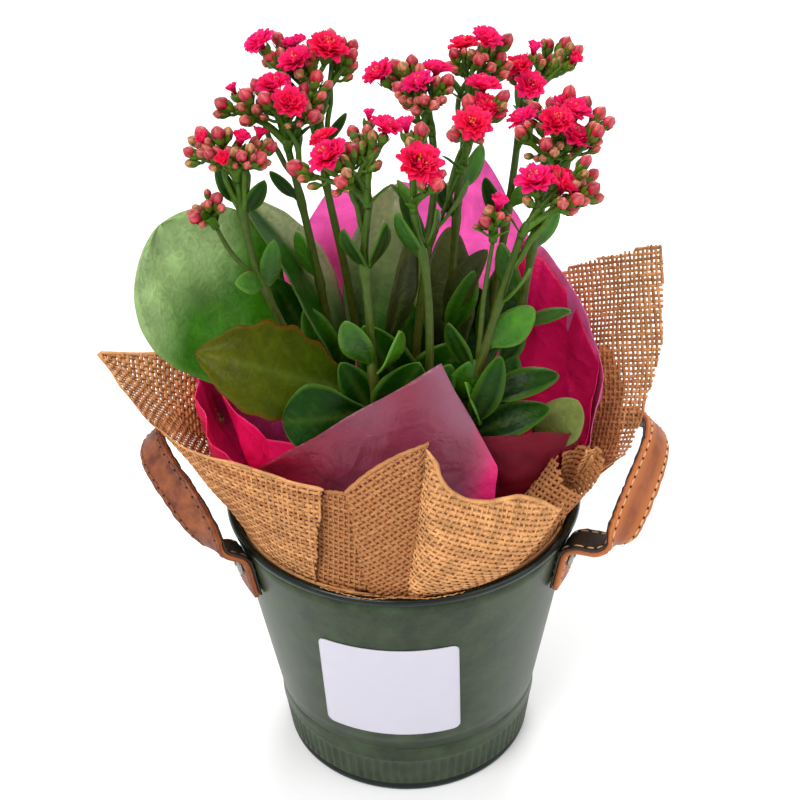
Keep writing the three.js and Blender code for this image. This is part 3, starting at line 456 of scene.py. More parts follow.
def living_tissue(name, rough, through, speckle_mm=2.2, specular=0.35):
    """Petals, buds and stalks: soft skin coloured point by point, with light coming through."""
    material, tree, place = start_material(name)
    own = add_node(tree, "Attribute", attribute_name="own").outputs["Vector"]
    cloud = add_node(tree, "TexNoise", {"Vector": place, "Scale": per_metre(speckle_mm), "Detail": 3.0})
    lift = add_node(tree, "MapRange", {0: cloud, 1: 0.3, 2: 0.7, 3: 0.8, 4: 1.2})
    tone = add_node(tree, "VectorMath", {0: own, 3: lift}, operation="SCALE")
    bump = add_node(tree, "Bump", {"Height": cloud, "Strength": 0.25, "Distance": 0.2 * MM})
    skin = add_node(tree, "BsdfPrincipled", {"Base Color": tone, "Roughness": rough, "Normal": bump,
        "Specular IOR Level": specular})
    glow = add_node(tree, "BsdfTranslucent", {"Color": tone})
    flesh = add_node(tree, "MixShader", {0: through, 1: skin, 2: glow})
    add_node(tree, "OutputMaterial", {"Surface": flesh})
    return material


# Sizes in millimetres and angles in degrees. Most are shared with the solids.

GAP = 0.3
SHEET = 0.8
TIN_HEIGHT = 125
TIN_SIDES = 240
RIM_RADIUS = 75
BEAD = 3.6
WALL_TOP_RADIUS = 73.4
FOOT_HEIGHT = 28
FOOT_LAP = 33
FOOT_RADIUS = 57.5
FLUTES = 88
FLUTE_DEPTH = 1.0
FLUTE_SAMPLES = 6
POT_TOP_RADIUS = 53
POT_LIP_RADIUS = 55.6
POT_BASE_RADIUS = 42
POT_WALL = 1.2
POT_BOTTOM = 6.1
POT_TOP = 107
POT_LIP = 9
SOIL_TOP = 101
STEM_FOOT = 90
LABEL_WIDTH = 59
LABEL_LOW = 39
LABEL_HIGH = 94
LABEL_AZIMUTH = -97
STRAP_WIDTH = 14
LEATHER = 2.2
LINING = 1.1
TAB_AZIMUTH = 27
TAB_LOW = 99
RIVET_HEIGHT = 111
RIVET_AZIMUTHS = {"right_front": -27, "right_back": 27, "left_front": 207, "left_back": 153}
STEM_RADIUS = 2.3
TWIG_RADIUS = 1.3
LARGE_LEAF = 30
SMALL_LEAF = 13
BLOOM_RADIUS = 6.9
BUD_RADIUS = 2.9
CORE_LENGTH = 7.5

# A bloom size under this one is a bud, and one under the second is a floret that is half open.
OPEN_SIZE = 0.45
WIDE_SIZE = 0.75

# How blooms lie back from the camera, and how they turn up and forward
LAY_BACK = 0.4
VIEW_SLOPE = 0.547
VIEW_REACH = 0.837
FACE_TILT = np.array([0, -0.25, 0.55])

# The ways that leaves face
FRONT = [0.1, -0.8, 0.6]
LEFT_UP = [-0.6, -0.4, 0.7]
RIGHT_UP = [0.6, -0.4, 0.7]
BACK = [0, 0.7, 0.7]

# The studio: the world's strength, and each lamp's name, place and size in metres, and watts
WORLD_STRENGTH = 0.74
LAMPS = [
    ("key", (-0.9, -1.1, 1.7), 1.3, 28),
    ("fill", (1.3, -0.7, 1.1), 1.4, 8),
    ("back", (0.3, 1.5, 1.5), 1.2, 26),
]
LAMP_AIM = (0, 0, 0.14)
CAMERA_PITCH = 33.19
CAMERA_ROLL = -1.44
CAMERA_DISTANCE = 655.5
CAMERA_AIM = [-0.5, 0, 168.9]

# The hessian's free edge at the sides and the back: azimuth in degrees, radius and height
HESSIAN_EDGE = [
    [0, 101, 160], [8, 111, 186], [17, 115, 221], [30, 101, 206], [42, 92, 193], [62, 84, 184],
    [85, 76, 206], [108, 73, 234], [128, 82, 200], [150, 93, 172], [166, 109, 177], [175, 125, 188],
    [184, 114, 183], [194, 102, 176], [208, 91, 176], [222, 84, 177], [236, 78, 175], [250, 73, 173],
    [258, 71, 180], [268, 71, 189], [277, 72, 195], [284, 69, 180], [296, 72, 168], [310, 77, 163],
    [319, 78, 155], [327, 77, 168], [336, 84, 166], [343, 88, 149], [352, 95, 149],
]

# A stem has its foot in the soil, the points of its path and of its twigs, and its leaves. A leaf has
# its base, its tip, its width, the way it faces, its bend, and how full its outline is near the base.
STEMS = {
    "a": {
        "foot": [-18, -6],
        "path": [[-24, -10, 150], [-40, -14, 200], [-53, -15, 238], [-57, -14, 262], [-58, -12, 274]],
        "twigs": [[[-50, -15, 232], [-62, -15, 246], [-67, -15, 257]]],
        "leaves": [
            [[-24, -10, 150], [-91, 3, 250], 68, [0.45, -0.7, 0.55], -8, 2.0],
            [[-57, -13, 264], [-66, -7, 278], 7, LEFT_UP, 1],
            [[-57, -14, 262], [-48, -13, 275], 7, RIGHT_UP, 1],
            [[-51, -15, 233], [-61, -23, 238], 9, FRONT, 1],
            [[-50, -15, 230], [-46, -16, 252], 8, FRONT, 1],
            [[-24, -10, 152], [-62, 10, 174], 22, [-0.3, 0.2, 0.9], 5],
        ],
    },
    "b": {
        "foot": [-21, 9],
        "path": [[-25, 11, 160], [-31, 11, 217], [-37, 9, 258], [-40, 6, 278]],
        "leaves": [
            [[-25, 11, 160], [-60, 22, 250], 34, [0.75, -0.25, 0.6], 12, 1.1],
            [[-37, 9, 256], [-48, 10, 268], 5, LEFT_UP, 1],
            [[-25, 11, 158], [-40, 42, 190], 24, [-0.2, 0.4, 0.9], 6],
            [[-31, 11, 219], [-40, 22, 236], 8, LEFT_UP, 1],
            [[-25, 11, 162], [-50, 6, 224], 17, [0.3, -0.8, 0.5], 3, 1.2],
            [[-25, 11, 164], [-37, 3, 212], 15, [0.2, -0.8, 0.5], 3, 1.2],
        ],
    },
    "c": {
        "foot": [-10, 22],
        "path": [[-14, 21, 160], [-21, 17, 220], [-27, 14, 262], [-28, 14, 286]],
        "leaves": [
            [[-14, 21, 166], [-1, 44, 245], 32, [0.1, -0.85, 0.45], 5, 1.0],
            [[-28, 13, 262], [-20, 16, 275], 5, RIGHT_UP, 1],
            [[-28, 13, 276], [-18, 17, 288], 4, RIGHT_UP, 1],
            [[-14, 21, 156], [-16, 50, 182], 24, BACK, 5],
            [[-7, 2, 190], [5, 5, 242], 13, [0.6, -0.7, 0.4], 3],
        ],
    },
    "d": {
        "foot": [-7, -25],
        "path": [[-8, -32, 150], [-10, -39, 195], [-11, -41, 232], [-12, -41, 258], [-10, -40, 276]],
        "leaves": [
            [[-11, -30, 189], [-78, -29, 212], 37, [0.1, -0.8, 0.6], 5, 1.15],
            [[-11, -41, 252], [-19, -44, 270], 9, LEFT_UP, 1],
            [[-11, -41, 252], [-4, -44, 272], 9, RIGHT_UP, 1],
            [[-10, -40, 210], [-20, -45, 233], 12, [-0.3, -0.8, 0.5], 2, 1.2],
            [[-10, -40, 206], [0, -46, 229], 12, RIGHT_UP, 2],
            [[-8, -43, 192], [-45, -48, 192], 29, [0.12, -0.95, 0.3], 2, 1.5],
            [[-9, -37, 180], [7, -44, 214], 20, [0.1, -0.85, 0.5], 2],
            [[-9, -31, 178], [-23, -30, 206], 14, [0.1, -0.8, 0.6], 2],
        ],
    },
    "e": {
        "foot": [5, -24],
        "path": [[8, -31, 160], [11, -39, 215], [10, -43, 250], [6, -44, 276]],
        "leaves": [
            [[10, -42, 255], [0, -44, 276], 8, LEFT_UP, 1],
            [[10, -43, 262], [14, -48, 279], 7, RIGHT_UP, 1],
            [[9, -35, 186], [19, -38, 209], 12, [0.1, -0.8, 0.6], 2],
            [[18, -34, 188], [28, -40, 212], 11, [0.1, -0.8, 0.6], 2],
        ],
    },
    "f": {
        "foot": [2, 3],
        "path": [[4, 4, 150], [7, 5, 194], [12, 5, 239], [15, 5, 268], [14, 5, 283]],
        "twigs": [[[12, 5, 236], [18, 1, 254], [24, -4, 272]]],
        "leaves": [
            [[13, 4, 242], [27, -7, 270], 9, RIGHT_UP, 1],
            [[12, 5, 236], [2, 8, 262], 8, LEFT_UP, 1],
            [[5, 4, 170], [-14, -6, 208], 22, [-0.3, -0.7, 0.6], 4],
            [[5, 4, 168], [26, -4, 198], 24, [0.4, -0.6, 0.7], 5],
            [[5, 8, 167], [2, 14, 209], 19, [0.1, -0.85, 0.5], 4],
        ],
    },
    "g": {
        "foot": [15, 18],
        "path": [[19, 20, 170], [23, 23, 230], [28, 25, 285]],
        "leaves": [
            [[18, 20, 162], [22, 42, 226], 22, [0.1, -0.8, 0.5], 4, 1.0],
            [[18, 20, 160], [4, 50, 190], 26, BACK, 6],
            [[24, 23, 238], [16, 26, 258], 8, LEFT_UP, 1],
            [[25, 24, 250], [34, 30, 268], 8, RIGHT_UP, 1],
            [[18, 14, 198], [35, 6, 234], 12, [-0.3, -0.7, 0.6], 3],
            [[19, 12, 192], [30, 4, 226], 11, [0.2, -0.8, 0.5], 2],
            [[19, 22, 164], [33, 40, 199], 26, [0.1, -0.8, 0.5], 4],
        ],
    },
    "h": {
        "foot": [26, 24],
        "path": [[34, 29, 165], [43, 33, 222], [48, 35, 262], [49, 35, 277]],
        "leaves": [
            [[34, 29, 168], [46, 40, 211], 19, [0.3, -0.5, 0.7], 4],
            [[33, 28, 158], [32, 47, 192], 22, BACK, 4],
            [[44, 33, 230], [36, 38, 250], 8, LEFT_UP, 1],
            [[45, 34, 238], [56, 32, 254], 9, RIGHT_UP, 1],
        ],
    },
    "i": {
        "foot": [31, 3],
        "path": [[38, -1, 150], [46, -5, 200], [52, -8, 245], [56, -9, 268]],
        "leaves": [
            [[46, -5, 205], [66, -18, 219], 8, [0.1, -0.4, 0.9], 1],
            [[38, -20, 198], [48, -14, 209], 9, [0.3, -0.6, 0.7], 2],
            [[39, -8, 168], [44, -8, 198], 11, [0.3, -0.6, 0.7], 3],
            [[51, -8, 240], [61, -2, 258], 8, RIGHT_UP, 1],
            [[48, -6, 215], [40, 4, 238], 10, LEFT_UP, 1],
            [[50, -28, 160], [69, -27, 184], 19, [0.2, -0.7, 0.6], 2, 1.3],
        ],
    },
    "j": {
        "foot": [14, -17],
        "path": [[18, -28, 150], [24, -37, 190], [30, -40, 212], [37, -40, 238], [44, -38, 262]],
        "twigs": [[[29, -39, 208], [31, -41, 240], [34, -41, 262]]],
        "leaves": [
            [[37, -40, 236], [47, -47, 254], 7, RIGHT_UP, 1],
            [[28, -39, 205], [18, -36, 226], 9, LEFT_UP, 1],
            [[32, -39, 216], [50, -33, 230], 13, [0.3, -0.7, 0.6], 2],
            [[28, -36, 190], [60, -36, 202], 12, [0.1, -0.6, 0.8], 4, 1.1],
            [[26, -39, 180], [37, -44, 216], 12, [0.2, -0.9, 0.4], 2],
            [[21, -33, 169], [57, -36, 187], 14, [0.1, -0.6, 0.8], 4, 1.1],
            [[30, -40, 183], [24, -44, 205], 5, [0.8, -0.5, 0.2], 1],
        ],
    },
}

# A head has its depth, its middle height and its blooms, each with its x and z as the camera sees
# them and its size. A size of 0 is a small bud. The head may sit on a twig of its stem.
HEADS = {
    "a": {
        "y": -12, "z": 288,
        "blooms": [[-69, 291, 0.6], [-71, 296, 0], [-64, 294, 0], [-75, 287, 0], [-67, 285, 0],
            [-56, 290, 0.7], [-50, 294, 0.6], [-61, 281, 0.6], [-45, 288, 0], [-49, 283, 0],
            [-55, 283, 0]],
    },
    "a_low": {"twig": True, "y": -15, "z": 265, "blooms": [[-74, 261, 0], [-71, 266, 0], [-66, 269, 0]]},
    "b": {
        "y": 2, "z": 300,
        "blooms": [[-63, 299, 0], [-59, 306, 0.5], [-54, 302, 0], [-51, 309, 0], [-44, 307, 1],
            [-38, 297, 1], [-33, 306, 0], [-28, 310, 0], [-29, 292, 0], [-34, 301, 0], [-47, 300, 0]],
    },
    "c": {
        "y": 16, "z": 309,
        "blooms": [[-36, 309, 1], [-37, 319, 0.8], [-24, 314, 1.15], [-15, 318, 0], [-15, 312, 0],
            [-23, 322, 0], [-30, 319, 0], [-49, 318, 0.9], [-43, 322, 0], [-46, 313, 0]],
    },
    "d": {
        "y": -29, "z": 294,
        "blooms": [[-9, 309, 0.5], [-15, 303, 0], [-3, 302, 0.9], [-7, 294, 0], [-25, 299, 0.8],
            [-23, 290, 1.1], [-15, 294, 0], [-19, 278, 0], [-35, 286, 0.4]],
    },
    "e": {"y": -46, "z": 299, "blooms": [[8, 294, 1.15], [4, 312, 0.7], [9, 309, 0], [14, 286, 0]]},
    "f": {
        "y": 5, "z": 304,
        "blooms": [[-5, 309, 0.95], [1, 314, 0], [7, 314, 0], [16, 311, 0.9], [9, 303, 0.9],
            [11, 295, 0], [2, 303, 0], [20, 304, 0]],
    },
    "f_side": {
        "twig": True,
        "y": -5, "z": 297,
        "blooms": [[33, 309, 1], [34, 298, 1.1], [28, 289, 1], [21, 286, 0], [27, 301, 0], [40, 303, 0]],
    },
    "g": {
        "y": 25, "z": 308,
        "blooms": [[23, 307, 0], [27, 312, 0.9], [35, 312, 0.9], [38, 318, 0], [43, 313, 0],
            [32, 303, 0], [41, 306, 0]],
    },
    "h": {
        "y": 35, "z": 298,
        "blooms": [[48, 297, 0.9], [52, 288, 0.9], [54, 304, 0.6], [61, 310, 0], [67, 309, 0],
            [69, 299, 0.6], [62, 302, 0], [71, 304, 0]],
    },
    "i": {
        "y": -8, "z": 294,
        "blooms": [[64, 298, 1.15], [47, 295, 0.9], [58, 291, 1], [65, 286, 1], [54, 282, 0],
            [45, 288, 0], [58, 303, 0], [64, 306, 0], [70, 302, 0], [75, 297, 0], [77, 291, 0],
            [52, 301, 0], [73, 287, 0]],
    },
    "j": {
        "y": -36, "z": 282,
        "blooms": [[49, 283, 1.1], [59, 281, 1.2], [67, 291, 0], [70, 286, 0], [69, 279, 0],
            [63, 274, 0]],
    },
    "j_side": {"twig": True, "y": -41, "z": 275, "blooms": [[36, 276, 0.7], [31, 270, 0]]},
}

# Each strap's loop from its front to its top: its middle line and the way its width runs. The back
# is the front's mirror image.
LOOPS = {
    "right": [
        [[79.5, -38.8, 121.3], [0.6, 0.8, 0]],
        [[84.5, -40, 123.3], [0.78, 0.62, -0.02]],
        [[88.4, -38.3, 128.4], [0.9, 0.38, -0.2]],
        [[92.4, -33.5, 135], [0.93, 0.14, -0.34]],
        [[97, -26, 141.3], [0.85, 0.04, -0.5]],
        [[101.6, -17, 146.2], [0.75, 0, -0.66]],
        [[104.9, -8, 149.2], [0.66, 0, -0.75]],
        [[106, 0, 150], [0.62, 0, -0.78]],
    ],
    "left": [
        [[76.5, -38, 124], [0.62, 0.76, -0.12]],
        [[80.4, -37.2, 131], [0.8, 0.5, -0.28]],
        [[85.4, -33.2, 138], [0.86, 0.24, -0.44]],
        [[91, -27, 144], [0.82, 0.1, -0.55]],
        [[97, -19, 148.6], [0.75, 0.03, -0.65]],
        [[102, -10, 151.6], [0.68, 0, -0.73]],
        [[104, 0, 152.6], [0.64, 0, -0.77]],
    ],
}


# Tin, label, pot and soil


def wall_radius(z):
    """The outer radius of the tin's conical wall at a height."""
    slope = (WALL_TOP_RADIUS - FOOT_RADIUS) / (TIN_HEIGHT - BEAD - FOOT_HEIGHT)
    return FOOT_RADIUS + slope * (z - FOOT_HEIGHT)


def tin_wall_shape(body):
    """The cone of the wall, and the rolled rim on it."""
    heights = np.linspace(FOOT_HEIGHT + GAP, TIN_HEIGHT - BEAD + 0.6, 14)
    outside = [(wall_radius(z), z) for z in heights]
    inside = [(wall_radius(z) - SHEET, z) for z in heights[::-1]]
    body.add(*turned(outside + inside, TIN_SIDES), slot=0)
    half = BEAD / 2
    turns = np.radians(np.arange(0, 360, 22.5))
    roll = [(RIM_RADIUS - half + half * math.cos(a), TIN_HEIGHT - half + half * math.sin(a)) for a in turns]
    body.add(*turned(roll, TIN_SIDES), slot=1)


def tin_foot_shape(body):
    """The foot: a plain collar over narrow upright flutes, a groove and a bottom bead."""
    bead = [(51.8, 0), (53.6, 0), (54.5, 0.5), (54.8, 1.6), (54.4, 2.7), (53.7, 3.4), (54.6, 4.1),
            (55.2, 4.8)]
    fluted = [(55.2 + 0.122 * (z - 4.8), z) for z in (5.6, 6.6, 8.5, 11, 13.5, 16, 17.8, 18.8)]
    collar = [(57.0, 19.6), (57.25, 20.4), (57.1, 21.2), (57.3, 24), (57.5, 27.4), (57.2, FOOT_HEIGHT)]
    inside = [(FOOT_RADIUS - SHEET - GAP, FOOT_HEIGHT), (wall_radius(FOOT_LAP) - SHEET - GAP, FOOT_LAP),
              (wall_radius(FOOT_LAP) - 2 * SHEET, FOOT_LAP)]
    points, faces = turned(bead + fluted + collar + inside, FLUTES * FLUTE_SAMPLES)
    radius = np.hypot(points[:, X], points[:, Y])
    z = points[:, Z]
    angle = np.arctan2(points[:, Y], points[:, X])
    fade = np.clip((z - 4.6) / 1.6, 0, 1) * np.clip((19.8 - z) / 1.4, 0, 1) * (radius > 54.8)
    groove = FLUTE_DEPTH * fade * (0.5 - 0.5 * np.cos(angle * FLUTES)) ** 0.8
    points[:, :2] *= ((radius - groove) / radius)[:, None]
    body.add(points, faces)
    # The bead at the bottom takes the rim's near-black enamel, the second material, as painted shade at the
    # foot.
    body.slots = [int(z[list(face)].max() < 3.5) for face in faces]


def label_shape(body):
    """A card with rounded corners, bent round the cone of the wall."""
    corner = 3.0
    steps = corner * (1 - np.cos(np.radians([0, 30, 50, 70, 90])))
    height = LABEL_HIGH - LABEL_LOW
    ups = np.concatenate([steps, np.linspace(corner, height - corner, 12)[1:-1], height - steps[::-1]])
    grids = []
    for offset in (0.55, 0.1):
        rows = []
        for up in ups:
            near = min(up, height - up)
            cut = corner - math.sqrt(max(corner**2 - (corner - near) ** 2, 0)) if near < corner else 0
            z = LABEL_LOW + up
            radius = wall_radius(z) + offset
            across = np.linspace(-0.5, 0.5, 29) * (LABEL_WIDTH - 2 * cut)
            rows.append(polar(radius, LABEL_AZIMUTH + np.degrees(across / radius), z))
        grids.append(np.array(rows))
    body.add(*slab(*grids))


def pot_shape(body):
    """The moulded nursery pot, with its stepped lip and a draft to the base."""
    floor = POT_BOTTOM + POT_WALL
    wide = POT_LIP_RADIUS - POT_WALL
    step = POT_TOP - POT_LIP
    outside = [(2, POT_BOTTOM), (POT_BASE_RADIUS - 1.5, POT_BOTTOM), (POT_BASE_RADIUS, POT_BOTTOM + 1.5),
               (POT_TOP_RADIUS, step - 1), (POT_LIP_RADIUS - 0.3, step - 0.4), (POT_LIP_RADIUS, step),
               (POT_LIP_RADIUS, POT_TOP - 0.5), (POT_LIP_RADIUS - 0.4, POT_TOP)]
    inside = [(wide + 0.2, POT_TOP), (wide, POT_TOP - 0.4), (POT_BASE_RADIUS - POT_WALL, floor), (2, floor)]
    body.add(*turned(outside + inside, 96))


def soil_shape(body):
    """Peat compost: a rough crust with crumbs on it."""
    rings, sides, shoulder = 30, 120, 90
    low = POT_BOTTOM + POT_WALL + GAP
    slope = (POT_LIP_RADIUS - POT_BASE_RADIUS) / (POT_TOP - POT_BOTTOM)
    rim = POT_LIP_RADIUS - POT_WALL - 0.4 - slope * (POT_TOP - SOIL_TOP)
    angles = np.arange(sides) * 360 / sides
    radii = np.linspace(1.0, rim, rings)
    crust = np.concatenate([polar(r, angles, SOIL_TOP + 2 - 2 * r / rim) for r in radii])
    crust[:, Z] += 0.7 * ripple(crust, 5, 1) * np.clip((rim - np.hypot(crust[:, X], crust[:, Y])) / 3, 0, 1)
    under = [polar(rim - 0.3, angles, shoulder), polar(POT_BASE_RADIUS - POT_WALL - GAP, angles, low)]
    points = np.concatenate([crust, *under, [[0, 0, SOIL_TOP + 2], [0, 0, low]]])
    faces = grid_faces(rings + 2, sides, wrap=True, flip=True)
    top = (rings + 2) * sides
    last = top - sides
    faces += [(i, (i + 1) % sides, top) for i in range(sides)]
    faces += [(last + (i + 1) % sides, last + i, top + 1) for i in range(sides)]
    body.add(points, faces)
    crumb = [(0, 1, 2), (0, 2, 3), (0, 3, 4), (0, 4, 1), (5, 2, 1), (5, 3, 2), (6, 4, 3), (6, 1, 4),
             (5, 1, 6), (5, 6, 3)]
    random = np.random.default_rng(SEED)
    for _ in range(260):
        place = polar(rim * 0.95 * math.sqrt(random.random()), random.uniform(0, 360), 0)
        size = random.uniform(0.8, 2.4)
        place[Z] = SOIL_TOP + 2 - 2 * math.hypot(place[X], place[Y]) / rim + 0.2 * size
        shape = unit(random.normal(size=(7, 3))) * size * random.uniform(0.7, 1.1, (7, 1))
        body.add(place + shape, crumb)


# Straps


def strap_stations(loop):
    """Centre and width direction of the strap from its front tab, over the loop, to its back tab."""
    tangent = polar(1, 90 - TAB_AZIMUTH, 0)
    clear = GAP + LINING + GAP + LEATHER / 2

    def tab(z, extra):
        return polar(wall_radius(z) + clear + extra, -TAB_AZIMUTH, z)

    if loop is LOOPS["right"]:
        turn = [[tab(118, 0.5), tangent], [polar(79.5, -TAB_AZIMUTH, 120.8), tangent]]
    else:
        turn = [[tab(119, 1.2), tangent]]
    half = [[tab(TAB_LOW, 0), tangent], [tab(107, 0), tangent], [tab(115, 0), tangent], *turn, *loop]
    mirror = np.array([1, -1, 1])
    both = [[np.array(c, float), np.array(w, float)] for c, w in half]
    return both + [[c * mirror, w * -mirror] for c, w in both[-2::-1]]


def strap_frames(loop, count, hand):
    """Evenly spaced centres along a strap with their across, out and along directions."""
    stations = strap_stations(loop)
    centres = np.array([c for c, _ in stations])
    path = smooth_path(centres, count)
    run, fine = run_along(centres), run_along(path)
    fine *= run[-1] / fine[-1]
    wides = []
    for _, wide in stations:
        wides.append(wide if not wides or wide @ wides[-1] > 0 else -wide)
    wide = read_at(fine, run, np.array(wides))
    along = unit(np.gradient(path, axis=0))
    across = unit(wide - along * np.sum(wide * along, axis=1, keepdims=True))
    out = unit(np.cross(across, along))
    return [values * np.array([hand, 1, 1]) for values in (path, across, out, along)]


def strap_band(body, frames, thickness, offset, seed, painted_shade=0.0):
    """A cut strip with slightly uneven raw edges; its burnished middle and any painted shade are kept as a
    value.
    """
    path, across, out, _ = frames
    half = STRAP_WIDTH / 2
    under = [(-0.985, -0.8), (-0.93, -1), (-0.6, -1), (-0.2, -1)]
    over = [(-0.985, 0.8), (-0.93, 1), (-0.6, 1.03), (-0.2, 1.06)]
    under += [(-s, level) for s, level in under[::-1]]
    over = [(-s, level) for s, level in over] + over[::-1]
    section = [(-1, -0.25), *under, (1, -0.25), (1, 0.25), *over, (-1, 0.25)]
    points = np.zeros((len(path), len(section), 3))
    burnt = np.zeros((len(path), len(section)))
    for k, (s, level) in enumerate(section):
        ragged = 0.3 * ripple(path + 50 * np.sign(s), 4, seed) * (abs(s) > 0.9)
        aside = (s * half + np.sign(s) * ragged)[:, None]
        points[:, k] = path + across * aside + out * (offset + level * thickness / 2)
        # A least value over the whole face paints shade on a strap turned from the light.
        burnt[:, k] = max(painted_shade, math.exp(-((s / 0.42) ** 2))) if level > 0 else 0.3
    body.add(points, capped_faces(len(path), len(section)), burnt=burnt.ravel())


def strap_stitches(body, frames, levels):
    """Two rows of thread, sunk at each hole, on the face of a strap at each level."""
    path, across, out, along = frames
    pitch, stitch, thread = 4.3, 3.0, 0.42
    seam = STRAP_WIDTH / 2 - 1.7
    run = run_along(path)
    turns = np.radians(np.arange(0, 360, 60))

    def on_seam(s, side, rise):
        return read_at(s, run, path) + read_at(s, run, across) * side * seam + read_at(s, run, out) * rise

    for level in levels:
        sign = 1 if level > 0 else -1
        rises = [level + sign * (0.3 * math.sin(math.pi * step) - 0.3) for step in np.linspace(0, 1, 5)]
        for side in (-1, 1):
            for start in np.arange(2.4, run[-1] - 3, pitch):
                places = start + np.linspace(0, 1, 5) * stitch
                line = [on_seam(s, side, rise) for s, rise in zip(places, rises)]
                body.add(*tube(line, [0.3, thread, thread, thread, 0.3], 5), slot=0)
                # A near-black disc at each hole paints the shade inside it.
                s = start + stitch + (pitch - stitch) / 2
                centre = on_seam(s, side, level + sign * 0.07)
                wide, long = read_at(s, run, across) * 0.5, read_at(s, run, along) * 0.6
                ring = [centre + wide * math.cos(a) + long * math.sin(a) for a in turns]
                body.add(ring, [tuple(range(6))], slot=1)


def rivet_shape(body, azimuth, flip):
    """A split pin: a head inside the wall, a washer on the strap, and two legs bent out over it."""
    wall = wall_radius(RIVET_HEIGHT)
    face = wall + GAP + LINING + GAP + LEATHER
    inside = wall - SHEET - 0.6
    out = polar(1, azimuth, 0)
    centre = np.array([0, 0, RIVET_HEIGHT], float)
    spans = [(inside - 0.8, 2.0), (inside - 0.6, 2.6), (inside - 0.1, 2.6), (inside, 1.5), (face + 0.6, 1.5),
             (face + 0.62, 3.0), (face + 1.0, 3.0), (face + 1.35, 2.4), (face + 1.6, 1.2)]
    body.add(*tube([centre + out * r for r, _ in spans], [w for _, w in spans], 20))
    side = polar(1, azimuth + 90, 0) * flip
    for lift, reach in ((0.5, 7.5), (-0.9, 5.5)):
        leg = [centre + out * (face + 0.9) + side * 0.6,
               centre + out * (face + 1.3) + side * 2.6 + UP * 0.3 * lift,
               centre + out * (face + 1.2) + side * (0.6 * reach) + UP * lift,
               centre + out * (face + 0.9) + side * reach + UP * 1.6 * lift]
        body.add(*tube(smooth_path(leg, 9), 0.42, 6))


# Wraps


def edge_point(edge, degrees):
    """The point of a free edge, straight in space between its listed points, at one azimuth."""
    for (a0, r0, z0), (a1, r1, z1) in zip(edge, edge[1:] + edge[:1]):
        if (degrees - a0) % 360 <= (a1 - a0) % 360:
            first, second, ray = polar(r0, a0, z0), polar(r1, a1, z1), polar(1.0, degrees, 0)
            c0 = first[X] * ray[Y] - first[Y] * ray[X]
            c1 = second[X] * ray[Y] - second[Y] * ray[X]
            mix = 0 if abs(c0 - c1) < 1e-6 else min(max(c0 / (c0 - c1), 0), 1)
            return first + (second - first) * mix
    raise ValueError("no edge at this azimuth")


def hessian_belly(azimuth):
    """How far the hessian bellies out at an azimuth, or in where it is less than nothing."""
    swells = ((4, 300, 26), (2, 240, 30), (-3, 178, 18), (-2, 18, 16))
    return sum(size * math.exp(-(((azimuth - middle) / width) ** 2)) for size, middle, width in swells)


def surface_normals(grid, wrap=False):
    """Outward normals of a grid of rows by columns of points, closed round the columns if wrap is set."""
    if wrap:
        across = np.roll(grid, -1, axis=1) - np.roll(grid, 1, axis=1)
    else:
        across = np.gradient(grid, axis=1)
    return unit(np.cross(across, np.gradient(grid, axis=0)))


def thick_ring(grid, thickness):
    """Points and faces of a sheet that closes round, with an outer and an inner face."""
    normals = surface_normals(grid, wrap=True)
    outer, inner = grid + normals * thickness / 2, grid - normals * thickness / 2
    rows, columns = grid.shape[:2]
    layer = rows * columns
    faces = grid_faces(rows, columns, wrap=True)
    faces += grid_faces(rows, columns, wrap=True, start=layer, flip=True)
    top = layer - columns
    for i in range(columns):
        k = (i + 1) % columns
        faces.append((top + i, top + k, top + k + layer, top + i + layer))
        faces.append((k, i, i + layer, k + layer))
    return np.concatenate([outer.reshape(-1, 3), inner.reshape(-1, 3)]), faces


# Hessian: each pleat is a panel between the rim and its free edge, woven yarn by yarn

# The real yarns lie about 2 mm apart. They are drawn a little further apart, so that the weave shows.
PITCH = 2.2
RISE = 0.18
HALF_YARN = 0.15
COLLAR_Z = 124
COLLAR_R = 70.4
PANEL_COLUMNS = 44
PANEL_ROWS = 22
EDGE_COLUMNS = 70
